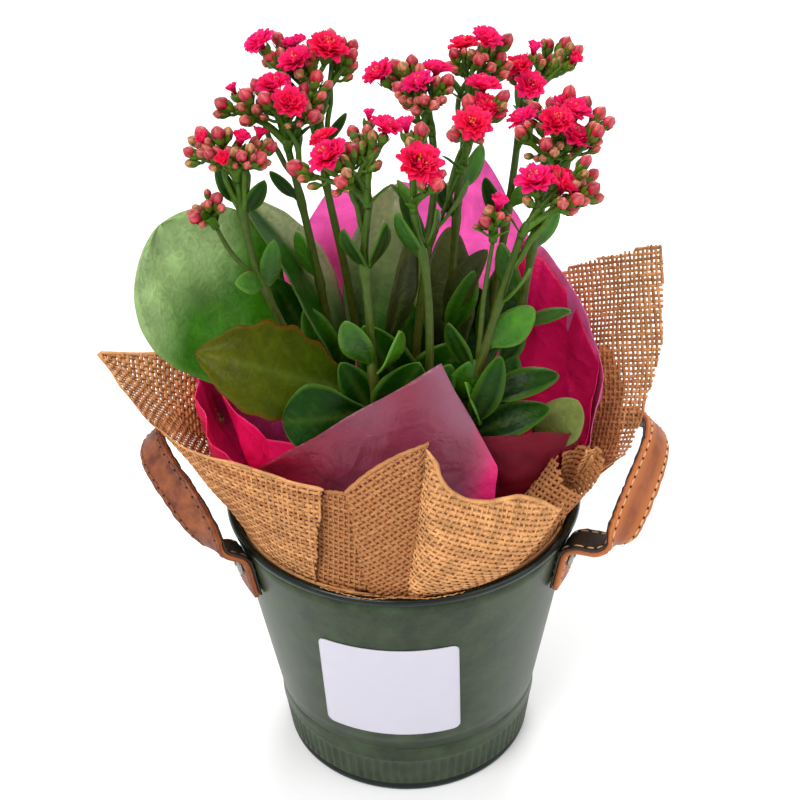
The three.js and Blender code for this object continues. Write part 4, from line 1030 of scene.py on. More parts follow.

# A panel has its azimuths at the rim, its free edge as points, or None to follow the whole edge,
# how far it bellies out and lies inside the outermost layer, the widths of the yarns along and
# across, how far its two side edges curl in, the part of the free edge, from 0 to 1, that its
# yarns run along, how much painted shade darkens them towards brown, or below nothing how much
# painted light makes them paler, and its second layer: the part of the height it reaches at one
# side and at the other, the part of the rim it starts from, and 1 if it lies inside, -1 outside.
PANELS = {
    "left": {
        "rim": (147, 240), "reach": (147, 246), "edge": None, "belly": 1.0, "inset": 0.4,
        "yarn": (1.96, 1.18), "tint": 0.12, "lie": (0.35, 0.95), "doubled": (0.5, 0.5, 0.66, 1),
    },
    "pleat": {
        "rim": (232, 264), "belly": 0.5, "inset": 2.4, "yarn": (1.94, 1.2), "lie": (0.1, 0.9),
        "tint": 0.75, "doubled": (0.9, 0.9, 0, 1),
        "edge": [(-31, -67, 171), (-24, -70, 172), (-16, -71.5, 170), (-10, -72, 171)],
    },
    "front": {
        "rim": (258, 275), "belly": 1.6, "inset": -0.4, "yarn": (1.86, 1.24), "lie": (0.1, 0.8),
        "curl": (0.0, 2.0), "tint": 0.75, "doubled": (0.9, 0.9, 0, 1),
        "edge": [(-21.5, -71, 175), (-12, -71.5, 184), (0, -72.5, 192.5), (7, -73.5, 196), (10, -71, 195)],
    },
    "lobe": {
        "rim": (270, 298), "belly": 7.0, "inset": -2.2, "yarn": (1.98, 1.18), "lie": (0.3, 0.9),
        "curl": (3.0, 6.0), "tint": -0.5, "doubled": (0.95, 0.95, 0, 1),
        "edge": [(8, -75.5, 195.5), (12, -75, 190), (15, -74, 181), (22, -71, 172), (31, -67, 167.5),
                 (42, -61, 165), (51, -58, 160), (59, -55, 153), (64, -52, 152)],
    },
    "roll": {
        "rim": (287, 340), "belly": 0.0, "inset": 1.6, "yarn": (1.86, 1.24), "lie": (0.3, 0.6), "tint": 0.9,
        "edge": [(50, -42, 151), (55, -40, 158), (61, -40, 167), (61.5, -44, 166), (63, -48, 159),
                 (69, -48, 154), (75, -45, 154), (80, -38, 157), (80.5, -30, 161), (74, -27, 163),
                 (67, -30, 163), (63, -36, 164)],
    },
    "hem": {
        "rim": (243, 288), "belly": 0.0, "inset": -1.2, "yarn": (1.8, 1.7), "lie": (0.2, 0.8), "loose": 0.5,
        "edge": [(-33.4, -65.6, 126.2), (-18, -71.4, 126), (0, -73.6, 126.4), (14, -72.3, 126),
                 (22.6, -70, 126.2)],
    },
    "right": {
        "rim": (334, 426), "edge": None, "belly": 1.0, "inset": 1.6, "yarn": (1.4, 1.4),
        "lie": (0.62, 0.98), "doubled": (0.95, 0.1, 0, -1),
    },
    "back": {
        "rim": (420, 512), "edge": None, "belly": 1.0, "inset": 0.2, "yarn": (1.45, 1.45),
        "lie": (0.55, 0.95),
    },
}
EDGED_PANELS = ("left", "pleat", "front", "lobe")


def cup_shape(body):
    """The middle of the cloth, pushed down into the tin under and round the pot."""
    azimuths = np.arange(0, 360, 3.0)
    legs = [((8, 5.3), (49, 5.3)), ((49.5, 5.3), (54.6, 31)), ((54.6, 31), (COLLAR_R, COLLAR_Z))]
    grid = []
    for (r0, z0), (r1, z1) in legs:
        for t in np.linspace(0, 1, 10, endpoint=(z1 == COLLAR_Z)):
            grid.append(polar(r0 + (r1 - r0) * t - 0.4, azimuths, z0 + (z1 - z0) * t))
    body.add(*thick_ring(np.array(grid), 0.8), tint=0.3)


def panel_grid(plan, columns=PANEL_COLUMNS, rows=PANEL_ROWS):
    """Rows by columns of points of one panel, from just inside the rim to its free edge."""
    azimuths = np.linspace(*plan["rim"], columns)
    s = np.linspace(0, 1, columns)
    if plan["edge"] is None:
        reach = np.linspace(*plan.get("reach", plan["rim"]), columns)
        tips = np.array([edge_point(HESSIAN_EDGE, a % 360) for a in reach])
        swell = np.array([hessian_belly(a % 360) for a in azimuths])
    else:
        tips = smooth_path(plan["edge"], columns)
        swell = plan["belly"] * np.sin(np.pi * s) ** 0.6
    base = polar(COLLAR_R - plan["inset"] * 0.4, azimuths, COLLAR_Z)
    outward = unit((base + tips) / 2 * [1, 1, 0])
    near, far = plan.get("curl", (0.0, 0.0))
    curl = near * np.clip(1 - s / 0.1, 0, 1) ** 2 + far * np.clip(1 - (1 - s) / 0.14, 0, 1) ** 2
    grid = []
    for t in np.linspace(0, 1, rows):
        away = swell * 4 * t * (1 - t) - plan["inset"] * min(1, 3 * t) - curl * min(1, 3 * t)
        grid.append(base + (tips - base) * t + outward * away[:, None])
    grid = np.array(grid)
    t = np.linspace(0, 1, rows)[:, None]
    soft = ripple(grid, 60, 11) * 1.5 + ripple(grid, 24, 12) * 0.5
    return grid + surface_normals(grid) * (soft * np.clip(3 * t, 0, 1))[..., None]


def third_corner(p, q, from_p, from_q):
    """The corner of a flat triangle, right of the way from p to q, at these distances from them."""
    gap = q - p
    span = max(np.hypot(*gap), 1e-6)
    along = (from_p**2 - from_q**2 + span**2) / (2 * span)
    side = math.sqrt(max(from_p**2 - along**2, 0))
    ahead = gap / span
    return p + ahead * along + np.array([ahead[1], -ahead[0]]) * side


def unroll(grid):
    """Lays the panel flat: strip after strip between its ends, then eased to its true lengths."""
    rows, columns = grid.shape[:2]
    length = np.linalg.norm(np.diff(grid, axis=0), axis=2)
    run = np.concatenate([np.zeros((1, columns)), np.cumsum(length, axis=0)])
    share = run / run[-1]
    low, high = np.zeros((columns, 2)), np.zeros((columns, 2))
    high[0] = (0, np.linalg.norm(grid[-1, 0] - grid[0, 0]))
    for i in range(1, columns):
        b0, b1, e0, e1 = grid[0, i - 1], grid[0, i], grid[-1, i - 1], grid[-1, i]
        low[i] = third_corner(low[i - 1], high[i - 1], np.linalg.norm(b1 - b0), np.linalg.norm(b1 - e0))
        high[i] = third_corner(low[i], high[i - 1], np.linalg.norm(e1 - b1), np.linalg.norm(e1 - e0))
    flat = low + (high - low) * share[..., None]
    index = np.arange(rows * columns).reshape(rows, columns)
    ties = [(index[:, :-1], index[:, 1:]), (index[:-1], index[1:]), (index[:-1, :-1], index[1:, 1:]),
            (index[:-1, 1:], index[1:, :-1])]
    first = np.concatenate([a.ravel() for a, _ in ties])
    second = np.concatenate([b.ravel() for _, b in ties])
    solid = grid.reshape(-1, 3)
    true = np.linalg.norm(solid[first] - solid[second], axis=1)
    count = rows * columns
    ties_each = np.bincount(np.concatenate([first, second]), minlength=count)[:, None]
    places = flat.reshape(-1, 2)
    for _ in range(500):
        gap = places[second] - places[first]
        now = np.maximum(np.hypot(gap[:, 0], gap[:, 1]), 1e-6)
        pull = gap * (0.5 * (now - true) / now)[:, None]
        shift = np.stack([np.bincount(first, pull[:, k], count) - np.bincount(second, pull[:, k], count)
                          for k in (0, 1)], axis=1)
        places = places + 1.5 * shift / ties_each
    return places.reshape(rows, columns, 2)


def flat_area(flat):
    """The area in square metres of a grid of points laid flat."""
    corners = [flat[:-1, :-1], flat[:-1, 1:], flat[1:, 1:], flat[1:, :-1]]
    cross = sum(p[..., 0] * q[..., 1] - p[..., 1] * q[..., 0]
                for p, q in zip(corners, corners[1:] + corners[:1]))
    return float(np.abs(cross).sum() / 2) * MM * MM


def flat_size(grid):
    """Width, length and area in metres of a grid of points laid flat."""
    flat = unroll(grid)
    width, length = np.ptp(flat.reshape(-1, 2), axis=0) * MM
    return width, length, flat_area(flat)


def locate(flat, queries):
    """For each flat point, the panel triangle it lies in and its weights there, or -1."""
    rows, columns = flat.shape[:2]
    index = np.arange(rows * columns).reshape(rows, columns)
    near, next_one, across, above = index[:-1, :-1], index[:-1, 1:], index[1:, 1:], index[1:, :-1]
    triangles = np.concatenate([np.stack([near, next_one, across], -1).reshape(-1, 3),
                                np.stack([near, across, above], -1).reshape(-1, 3)])
    a, b, c = (flat.reshape(-1, 2)[triangles[:, k]] for k in range(3))
    ab, ac = b - a, c - a
    area = ab[:, 0] * ac[:, 1] - ab[:, 1] * ac[:, 0]
    found = np.full(len(queries), -1)
    weights = np.zeros((len(queries), 3))
    for first in range(0, len(queries), 1500):
        gap = queries[first : first + 1500, None] - a
        wb = (gap[..., 0] * ac[:, 1] - gap[..., 1] * ac[:, 0]) / area
        wc = (ab[:, 0] * gap[..., 1] - ab[:, 1] * gap[..., 0]) / area
        inside = (wb >= -1e-6) & (wc >= -1e-6) & (wb + wc <= 1 + 1e-6)
        hits = np.nonzero(inside.any(axis=1))[0]
        picked = inside.argmax(axis=1)[hits]
        found[first + hits] = picked
        weights[first + hits, 1] = wb[hits, picked]
        weights[first + hits, 2] = wc[hits, picked]
    weights[:, 0] = 1 - weights[:, 1] - weights[:, 2]
    return triangles, found, weights


def whole_runs(valid):
    """The runs of at least two neighbouring marks that are set, as lists of their indices."""
    marks = np.nonzero(valid)[0]
    runs = np.split(marks, np.nonzero(np.diff(marks) > 1)[0] + 1)
    return [run for run in runs if len(run) > 1]


def weave_panel(body, plan, seed):
    """Weaves one panel from flattened yarns; returns its flat width, length and area in metres."""
    grid = panel_grid(plan)
    flat = unroll(grid)
    normals = surface_normals(grid).reshape(-1, 3)
    solid = grid.reshape(-1, 3)
    first, last = (int(share * (PANEL_COLUMNS - 1)) for share in plan["lie"])
    lie = flat[-1, last] - flat[-1, first]
    lie = lie / np.hypot(*lie)
    local = (flat - flat[-1, first]) @ np.array([lie, [-lie[1], lie[0]]]).T
    low, high = local.reshape(-1, 2).min(axis=0), local.reshape(-1, 2).max(axis=0)
    random = np.random.default_rng(SEED + seed)
    half = PITCH / 2
    loose_above = COLLAR_Z + plan.get("loose", 6)
    for family in (0, 1):
        lanes = np.arange(math.floor(low[1 - family] / PITCH), math.ceil(high[1 - family] / PITCH) + 1)
        steps = np.arange(math.floor(low[family] / half), math.ceil(high[family] / half) + 1)
        lane, step = np.meshgrid(lanes, steps, indexing="ij")
        wander = 0.1 * np.sin(step * 0.37 + lane * 2.1) + 0.07 * np.sin(step * 0.9 + lane)
        queries = np.zeros((*lane.shape, 2))
        queries[..., family] = step * half
        queries[..., 1 - family] = (lane - 0.3) * PITCH + wander
        triangles, found, weights = locate(local, queries.reshape(-1, 2))
        corners = triangles[np.maximum(found, 0)]
        place = np.sum(solid[corners] * weights[..., None], axis=1).reshape(*lane.shape, 3)
        normal = unit(np.sum(normals[corners] * weights[..., None], axis=1)).reshape(*lane.shape, 3)
        phase = np.where(step % 2 == 0, np.cos(math.pi * (step // 2 + lane)), 0.0)
        lift = phase * RISE * (1 if family == 0 else -1)
        place = place + normal * lift[..., None]
        for k, valid in enumerate((found >= 0).reshape(lane.shape)):
            for run in whole_runs(valid):
                yarn(body, place[k, run], normal[k, run], plan["yarn"][family], random, loose_above,
                     plan.get("tint", 0.0))
    spread = (high - low) * MM + PITCH * MM
    return spread[0], spread[1], flat_area(flat) + (spread[0] + spread[1]) * PITCH * MM


def yarn(body, line, normal, width, random, loose_above, brown):
    """One flattened yarn with loose ends past a free edge."""
    line, normal = list(line), list(normal)
    for end, inner in ((0, 1), (-1, -2)):
        if line[end][Z] > loose_above:
            loose = line[end] + (line[end] - line[inner]) * random.uniform(0.05, 0.6)
            line.insert(0 if end == 0 else len(line), loose + random.normal(size=3) * 0.12)
            normal.insert(0 if end == 0 else len(normal), normal[end])
    line, normal = np.array(line), np.array(normal)
    count = len(line)
    across = unit(np.cross(unit(np.gradient(line, axis=0)), normal))
    broad = width / 2 * random.uniform(0.86, 1.12)
    broad = broad * (1 + 0.1 * np.sin(np.arange(count) * 0.8 + random.uniform(0, 6)))
    broad[[0, -1]] *= 0.6
    aside, thick = across * broad[:, None], normal * HALF_YARN
    ring = np.stack([line - aside, line - thick, line + aside, line + thick], axis=1)
    faces = grid_faces(count, 4, wrap=True) + [(0, 3, 2, 1), tuple(range(4 * count - 4, 4 * count))]
    # Each yarn's own tone differs at random; the panel's value adds painted shade, or painted light where it
    # is below nothing.
    body.add(ring, faces, tint=min(max(brown + random.uniform(0, 1) ** 2, 0), 1))


def turned_edge(body, plan, seed):
    """The yarn that a fold turns over along a panel's free edge."""
    grid = panel_grid(plan, columns=EDGE_COLUMNS)
    normals = surface_normals(grid)[-1]
    random = np.random.default_rng(SEED + seed)
    yarn(body, grid[-1] + HALF_YARN * normals, normals, 2.3, random, math.inf, plan.get("tint", 0.0))


def second_layer(body, plan):
    """The cloth folded behind a panel; returns its flat width, length and area in metres."""
    first, last, start, side = plan["doubled"]
    grid = panel_grid(plan)
    level = np.linspace(0, PANEL_ROWS - 1.01, PANEL_ROWS)[:, None] * np.linspace(first, last, PANEL_COLUMNS)
    row, column = level.astype(int), np.arange(PANEL_COLUMNS)[None, :]
    grid = grid[row, column] + (grid[row + 1, column] - grid[row, column]) * (level - row)[..., None]
    grid = grid[:, 1 + int((PANEL_COLUMNS - 2) * start) : -2]
    inward = side * surface_normals(grid)
    # The layer lying inside is painted darker as painted shade, the one lying outside paler as painted
    # light.
    body.add(*slab(grid - 0.6 * inward, grid - 0.9 * inward), tint=0.1 + 0.6 * side)
    return flat_size(grid)


# Tissue: overlapping leaves of waxed paper round the pot, creased from the rim outwards

TISSUE_LOW = 116
TISSUE_RADIUS = 61.5
HALF_TISSUE = 0.13
TISSUE_COLUMNS = 90
TISSUE_ROWS = 46

# Each look of the tissue: the end of its material's name, its colour, or None for the panel's, its
# colour with light behind it, how much light comes through, how clear it is, and its roughness
# The crimson look is the paper as it is; the others are lit and shaded copies of it. The bright look and the
# outer leaf's look are paler, painted light; the shade, fold and flap looks are darker, painted shade.
TISSUE_LOOKS = {
    "crimson": ("crimson", None, "#ff8cc0", 0.12, 0.0, 0.24),
    "bright": ("backlit", "#ff50a8", "#ffa0dc", 0.84, 0.0, 0.34),
    "veil": ("single leaf", "#ff70b0", "#ffa0cc", 0.1, 0.12, 0.28),
    "shade": ("several leaves", "#600010", "#880020", 0.2, 0.0, 0.7),
    "fold": ("turned edge", "#7c0020", "#c01448", 0.3, 0.4, 0.7),
    "flap": ("folded flap", "#7c0424", "#b02c58", 0.2, 0.0, 0.3),
}

# A leaf of tissue has its azimuths at the rim, its free edge as points, how far it bellies out and
# lies inside, its material, its folds, each with its place along the leaf from 0 to 1 and its depth,
# and the part of its height that it starts from.
TISSUE_LEAVES = {
    "back": {
        "rim": (36, 166), "belly": 1.5, "inset": 0, "look": "bright",
        "edge": [(59, 47, 208), (50, 49, 228), (43, 50, 240), (34, 50, 256), (27, 53, 246), (18, 55, 237),
                 (2, 55, 241), (-12, 56, 233), (-27, 52, 240), (-44, 50, 214), (-57, 49, 198),
                 (-74, 41, 182), (-92, 31, 168)],
        "folds": [(0.06, 2), (0.12, -2), (0.2, 3), (0.27, -1.5), (0.38, 2.5), (0.46, -2), (0.58, 2),
                  (0.7, -2), (0.82, 1.5), (0.93, -1)],
    },
    "right": {
        "rim": (-28, 50), "belly": 2.5, "inset": 2, "look": "crimson",
        "edge": [(73, -22, 158), (77, -10, 162), (80, 2, 168), (82, 14, 176), (79, 25, 185), (73, 35, 195),
                 (62, 45, 209), (50, 46, 214)],
        "folds": [(0.1, 1.5), (0.25, -2), (0.4, 1.5), (0.55, -1), (0.68, 2), (0.82, -1.5)],
    },
    "right_veil": {
        "rim": (-26, 56), "belly": 3.5, "inset": 0, "look": "veil", "from": 0.45,
        "edge": [(75, -20, 160), (79, -8, 165), (82, 6, 172), (82.5, 17, 180), (79, 27, 191), (70, 37, 203),
                 (61, 47, 213), (52, 49, 218)],
        "folds": [(0.14, -1), (0.3, 1.5), (0.5, -1.5), (0.7, 1)],
    },
    "left": {
        "rim": (152, 236), "belly": 2.5, "inset": 1, "look": "crimson",
        "edge": [(-81, 38, 176), (-88, 31, 172), (-87, 18, 170), (-85, 5, 169), (-80, -8, 167),
                 (-76, -20, 163), (-69, -31, 163), (-63, -38, 164), (-52, -49, 168)],
        "folds": [(0.12, 1.5), (0.24, -2.5), (0.36, 2.5), (0.46, -1), (0.58, 3), (0.7, -2.5), (0.84, 2)],
    },
    "left_inner": {
        "rim": (176, 240), "belly": 1.0, "inset": 6, "look": "crimson",
        "edge": [(-76, 4, 172), (-68, -8, 169), (-60, -18, 167), (-55, -26, 169), (-44, -36, 172),
                 (-34, -40, 178)],
        "folds": [(0.2, 2), (0.4, -2), (0.6, 2), (0.8, -2)],
    },
    "right_inner": {
        "rim": (-66, -18), "belly": 0.5, "inset": 5, "look": "shade",
        "edge": [(22, -50, 176), (32, -46, 178), (44, -43, 176), (56, -39, 174), (66, -31, 168),
                 (73, -20, 164)],
        "folds": [(0.2, 1.5), (0.45, -1.5), (0.7, 1.5)],
    },
    "right_inner_veil": {
        "rim": (-64, -20), "belly": 2.0, "inset": 4, "look": "fold", "from": 0.5,
        "edge": [(24, -52, 178), (32, -47, 181), (44, -45, 180), (56, -41, 178.5), (66, -33, 173),
                 (72, -24, 168)],
        "folds": [(0.3, -1), (0.6, 1)],
    },
    "flap": {
        "rim": (218, 297), "belly": 3.0, "inset": 0.5, "look": "flap",
        "edge": [(-58, -52, 172), (-52, -56, 178), (-35, -55, 188), (-18, -53.5, 198), (-1, -52, 208),
                 (15, -50, 217), (20, -52, 206), (26, -52, 194), (31, -52.5, 183), (36, -53, 172),
                 (35, -56, 160)],
        "folds": [(0.1, 0.8), (0.3, -0.6), (0.45, 0.8), (0.6, -0.5), (0.8, 0.8)],
    },
}


def tissue_grid(plan):
    """Rows by columns of points of one leaf of tissue, from inside the rim to its free edge."""
    tips = spaced(plan["edge"], TISSUE_COLUMNS)
    azimuths = np.linspace(*plan["rim"], TISSUE_COLUMNS)
    base = polar(TISSUE_RADIUS - 0.35 * plan["inset"], azimuths, TISSUE_LOW)
    outward = unit((base + tips) / 2 * [1, 1, 0])
    folds = [(0.0, 0.0), *plan["folds"], (1.0, 0.0)]
    crease = np.interp(np.linspace(0, 1, TISSUE_COLUMNS), [s for s, _ in folds], [d for _, d in folds])
    grid = []
    for t in np.linspace(plan.get("from", 0), 1, TISSUE_ROWS):
        swell = plan["belly"] * 4 * t * (1 - t) + crease * math.sin(math.pi * min(1, 0.75 * t + 0.1))
        swell = swell - plan["inset"] * min(1, 3 * t) * (1 - 0.6 * t)
        grid.append(base + (tips - base) * t + outward * swell[:, None])
    grid = np.array(grid)
    t = np.linspace(0, 1, TISSUE_ROWS)[:, None]
    soft = 1.6 * ripple(grid, 34, 21) + 0.7 * np.abs(ripple(grid, 15, 22)) + 0.25 * ripple(grid, 6, 23)
    return grid + surface_normals(grid) * (soft * np.clip(2.5 * t, 0, 1) * (1 - 0.5 * t))[..., None]


def tissue_leaf(body, plan):
    """One leaf of tissue; returns its flat width, length and area in metres."""
    grid = tissue_grid(plan)
    normals = surface_normals(grid)
    points, faces = slab(grid + normals * HALF_TISSUE, grid - normals * HALF_TISSUE)
    s, t = np.meshgrid(np.linspace(0, 1, TISSUE_COLUMNS), np.linspace(0, 1, TISSUE_ROWS))
    # The flap takes a mauve painted sheen, growing towards its top and right, and a pink painted highlight
    # near its right side towards its free edge; the bright, outer-leaf and fold looks take a little painted
    # sheen towards their free edge.
    veil, blush = np.zeros_like(t), np.zeros_like(t)
    if plan["look"] == "flap":
        veil = np.clip(1.5 * (s - 0.12) * (0.3 + 0.9 * t), 0, 1) - 0.7 * np.clip((s - 0.9) / 0.05, 0, 1)
        blush = np.clip((s - 0.76) / 0.14, 0, 1) * np.clip(4 * t - 1.6, 0, 1)
    elif plan["look"] not in ("shade", "crimson"):
        veil = 0.12 * t**2
    patches = 1 + 0.5 * ripple(grid, 22, 24)
    veil, blush = (np.tile(np.clip(mask * patches, 0, 1).ravel(), 2) for mask in (veil, blush))
    body.add(points, faces, veil=veil, blush=blush)
    return flat_size(grid[::3, ::4])


# Leafy stems

# Upper face towards the tip and at the base, under face, margin, and how strongly its wax shines.
# The darker base colour is painted shade; the spring leaf's pale tip colour is a painted sheen.
LEAF_LOOKS = {
    "spring": ("#94b46e", "#3a7610", "#6f9438", "#7fa24a", 0.9),
    "olive": ("#464800", "#304000", "#505408", "#7a2c10", 0.12),
    "grey": ("#84905e", "#1f4a0a", "#3a5018", "#7c9050", 0.5),
    "glossy": ("#86885a", "#2c5c20", "#4c6224", "#93a264", 0.7),
    "purple": ("#3c4016", "#20300a", "#3c3c14", "#4c4c1c", 0.22),
    "pale": ("#6c7638", "#56602a", "#606a30", "#8c9450", 0.2),
    "deep": ("#123a02", "#082402", "#24500c", "#5a8420", 0.12),
    "mid": ("#285a06", "#1a4202", "#3a6012", "#5e8424", 0.28),
    "fresh": ("#3c7410", "#286004", "#467414", "#6f9430", 0.32),
}

# The look of single leaves, by their stem and their place in its list; the others take turns.
LEAF_CHOICES = {
    "spring": "a0", "grey": "b0", "glossy": "c0", "olive": "d0", "pale": "i5", "purple": "g0 g4 c4",
    "deep": "b2 b4 c3 d5 d6 d7 f2 f3 f4 g1 g6 h0 h1 i1 i2 j4 j5 j3", "mid": "b5 d3 e3 g5 i0",
    "fresh": "d4 j2 j6",
}
CHOSEN_LOOKS = {leaf: look for look, leaves in LEAF_CHOICES.items() for leaf in leaves.split()}
OTHER_LOOKS = ("mid", "deep", "deep", "fresh")


def leaf_shape(body, entry, look, seed, slot):
    """One leaf: a waxy blade with a sunk midrib, raised veins and a scalloped margin."""
    base, tip, width, facing, bend = entry[:5]
    fullness = entry[5] if len(entry) > 5 else 0.95
    large, small = width > LARGE_LEAF, width < SMALL_LEAF
    start, end = np.array(base, float), np.array(tip, float)
    length = np.linalg.norm(end - start)
    along = (end - start) / length
    across = unit(np.cross(along, unit(facing)))
    lift = unit(np.cross(across, along))
    rows = int(min(max(length / 1.7, 10), 60))
    columns = 2 * int(min(max(width / 4.2, 2), 9))
    thickness, stalk = (1.7, 1.7) if large else (1.3, 1.0)
    t = (1 - (1 - np.linspace(0, 1, rows + 1)) ** 1.7)[:, None]
    s = np.linspace(-1, 1, columns + 1)[None, :]

    opened = 0.04 + 0.96 * np.clip((t - 0.12) / 0.88, 0, 1) ** fullness
    sharp = 0.85 if look == "olive" else 0.55
    outline = np.sin(np.pi * opened) ** np.where(opened < 0.5, 0.8, sharp)
    notch = {"olive": 0.045, "spring": 0.004}.get(look, 0.0 if small else 0.014)
    scallop = 1 + notch * np.sin(TURN * length * t / 11 + seed) * (t > 0.2) * (1 + 0.4 * s)
    least = np.where(t < 0.5, stalk, 0.08)
    half = np.where(t < 0.1, stalk, np.maximum(least, width / 2 * outline * scallop))

    ease = 0.003 if look == "spring" else 0.02
    wave = ease * width * s**2 * np.sin(3 * np.pi * t + (0 if large else seed))
    crinkle = (0.012 * width) * np.sin(9 * t + 4 * s + seed) * np.sin(5 * t - 6 * s) * (0 if small else 1)
    cup = 0.16 * half * s**2 + wave + crinkle
    rib = np.exp(-((s * half / (0.05 * width)) ** 2)) * (1 - 0.7 * t)
    slant = np.abs(s) * half
    vein = np.cos(TURN * (t * length - slant * 1.1) / max(0.13 * length, 3))
    vein = np.clip(vein - 0.8, 0, 1) * 5 * (1 - s**2) * (0 if small else 1)
    sunk = -0.35 * rib * (0.3 if small else 1.0) - 0.12 * vein
    rim = thickness * (0.35 + 0.65 * (1 - s**2)) / 2
    middle = start + along * (length * t)[..., None] + lift * (bend * 4 * t * (1 - t))[..., None]
    sheet = middle + across * (s * half)[..., None] + lift * cup[..., None]
    points, faces = slab(sheet + lift * (rim + sunk)[..., None], sheet - lift * rim[..., None])

    # The upper face is painted darker towards the base as painted shade, the spring leaf most of all, and on
    # the spring leaf the pale tip is a painted sheen.
    tipward, baseward, below, margin = [rgb(c) for c in LEAF_LOOKS[look][:4]]
    shade = np.repeat(0.9 + 0.2 * t, columns + 1, axis=1)[..., None]
    if look == "spring":
        shade = shade * np.clip(0.25 + 1.7 * t, 0, 1)[..., None]
        ahead = np.clip((t - 0.67 - 0.04 * s + 0.03 * np.sin(5 * s)) / 0.17, 0, 1)
    elif look == "grey":
        ahead = np.clip((t - 0.3) / 0.3, 0, 1) * np.clip(0.25 + 3 * s, 0, 1)
    else:
        ahead = np.clip(1.5 * (t - 0.3) - 0.1 * s, 0, 1)
    wax = LEAF_LOOKS[look][4] * (0.25 + 0.75 * np.tile(ahead.ravel(), 2) if large else 1)
    upper = baseward + (tipward - baseward) * ahead[..., None]
    skin = np.concatenate([(shade * upper).reshape(-1, 3), (shade * below).reshape(-1, 3)])
    edge = np.clip((slant - (half - 0.9)) / 0.7, 0, 1)
    edge = np.maximum(edge, np.clip((t - 0.98) / 0.02, 0, 1)) * np.where(t < 0.12, 0.2, 1.0)
    marks = np.clip((0.08 if small else 0.16) * rib + 0.05 * vein, 0, 1).ravel()
    body.add(points, faces, slot=slot, skin=skin, margin=margin, across=0.45 * np.tile(edge.ravel(), 2),
             wax=wax, rib=np.concatenate([marks, np.minimum(1, 1.3 * marks)]))


def stem_shape(body, plan, slot):
    """A fleshy stem and its twigs: brownish low down, green above, swollen where leaves part."""
    foot, sides = plan["foot"], 12
    path = [[*foot, STEM_FOOT], [*foot, SOIL_TOP + 16], *plan["path"]]
    low, high = rgb("#483a14"), rgb("#38540c")
    twigs = [(twig, TWIG_RADIUS, 16) for twig in plan.get("twigs", [])]
    for line, radius, steps in [(path, STEM_RADIUS, 48), *twigs]:
        centres = smooth_path(line, steps)
        radii = radius * (0.9 - 0.3 * np.linspace(0, 1, steps))
        for entry in plan["leaves"]:
            gap = np.linalg.norm(centres - np.array(entry[0]), axis=1)
            radii = radii + 0.22 * radius * np.exp(-((gap / 3.5) ** 2))
        mix = np.repeat(np.clip((centres[:, Z] - 140) / 130, 0, 1), sides)[:, None]
        body.add(*tube(centres, radii, sides), slot=slot, own=low + (high - low) * mix)


def plant_shape(body, letter, plan):
    """One stem with its twigs and all its leaves."""
    stem_shape(body, plan, 1)
    for number, entry in enumerate(plan["leaves"]):
        look = CHOSEN_LOOKS.get(f"{letter}{number}", OTHER_LOOKS[number % len(OTHER_LOOKS)])
        leaf_shape(body, entry, look, number + ord(letter), 0)


# Flower heads

# Each layer's number of petals, their size and how far they lean out in degrees, from outside in
PETAL_LAYERS = [(11, 1.1, 80), (10, 1.08, 66), (9, 1.03, 52), (8, 0.98, 39), (6, 0.93, 26), (4, 0.88, 12)]
PETAL_TONES = ["#ff1478", "#ff1066", "#ff1a60", "#fa1276", "#ff1a88", "#f00c5c"]
BUD_TONES = ["#cc2a3c", "#b81c36", "#d63e48", "#c9344a"]
YOUNG_TONES = ["#c8604c", "#b98a52", "#d2544e"]


def basis(axis):
    """The axis and two directions square to it."""
    axis = unit(axis)
    side = unit(np.cross(axis, [0.13, 0.97, 0.21]))
    return axis, side, np.cross(axis, side)


def way_round(turn, side, other):
    """The direction at an angle between two directions that are square to each other."""
    return math.cos(turn) * side + math.sin(turn) * other


def summed(slopes, step):
    """How far a line has gone at each of its points, from its slopes there."""
    return np.concatenate([[0], np.cumsum((slopes[1:] + slopes[:-1]) / 2 * step)])


def petal_shape(body, base, axis, out, turn, lean, length, radius, hue, random, slot):
    """One petal that rises from the throat and flares outwards, ruffled towards its tip."""
    t = np.linspace(0, 1, 7)
    s = np.linspace(-1, 1, 4)
    across = unit(np.cross(axis, out) + 0.15 * random.normal() * axis)
    angle = lean * (0.3 + 0.7 * np.clip(t / 0.5, 0, 1))
    angle = angle + random.uniform(0.05, 0.5) * np.clip(t - 0.55, 0, 1)
    along, rise = summed(np.sin(angle), length / 6), summed(np.cos(angle), length / 6)
    spine = base + out * along[:, None] + axis * rise[:, None]
    half = radius * random.uniform(0.23, 0.3) * np.sin(np.pi * (0.07 + 0.86 * t**1.3)) ** 0.7
    normal = unit(axis * np.sin(angle)[:, None] - out * np.cos(angle)[:, None])
    ruffle = radius * (0.1 * s**2 + 0.05 * t[:, None] ** 2 * np.sin(4.5 * s + 6 * turn))
    points = spine[:, None] + (half[:, None] * s)[..., None] * across + ruffle[..., None] * normal[:, None]
    # The petal is painted darker towards the throat as painted shade, and paler pink at its tip and edges as
    # a painted highlight.
    shade = (0.75 + 0.4 * t**0.8)[:, None] * (1 - 0.12 * np.abs(s)) * random.uniform(0.8, 1.15)
    blush = rgb("#ff7aa0") * (0.2 * t[:, None] ** 2 * (0.4 + 0.6 * np.abs(s)))[..., None]
    own = np.minimum(shade[..., None] * hue + blush, 1).reshape(-1, 3)
    body.add(points, grid_faces(len(t), len(s)), slot=slot, own=own)


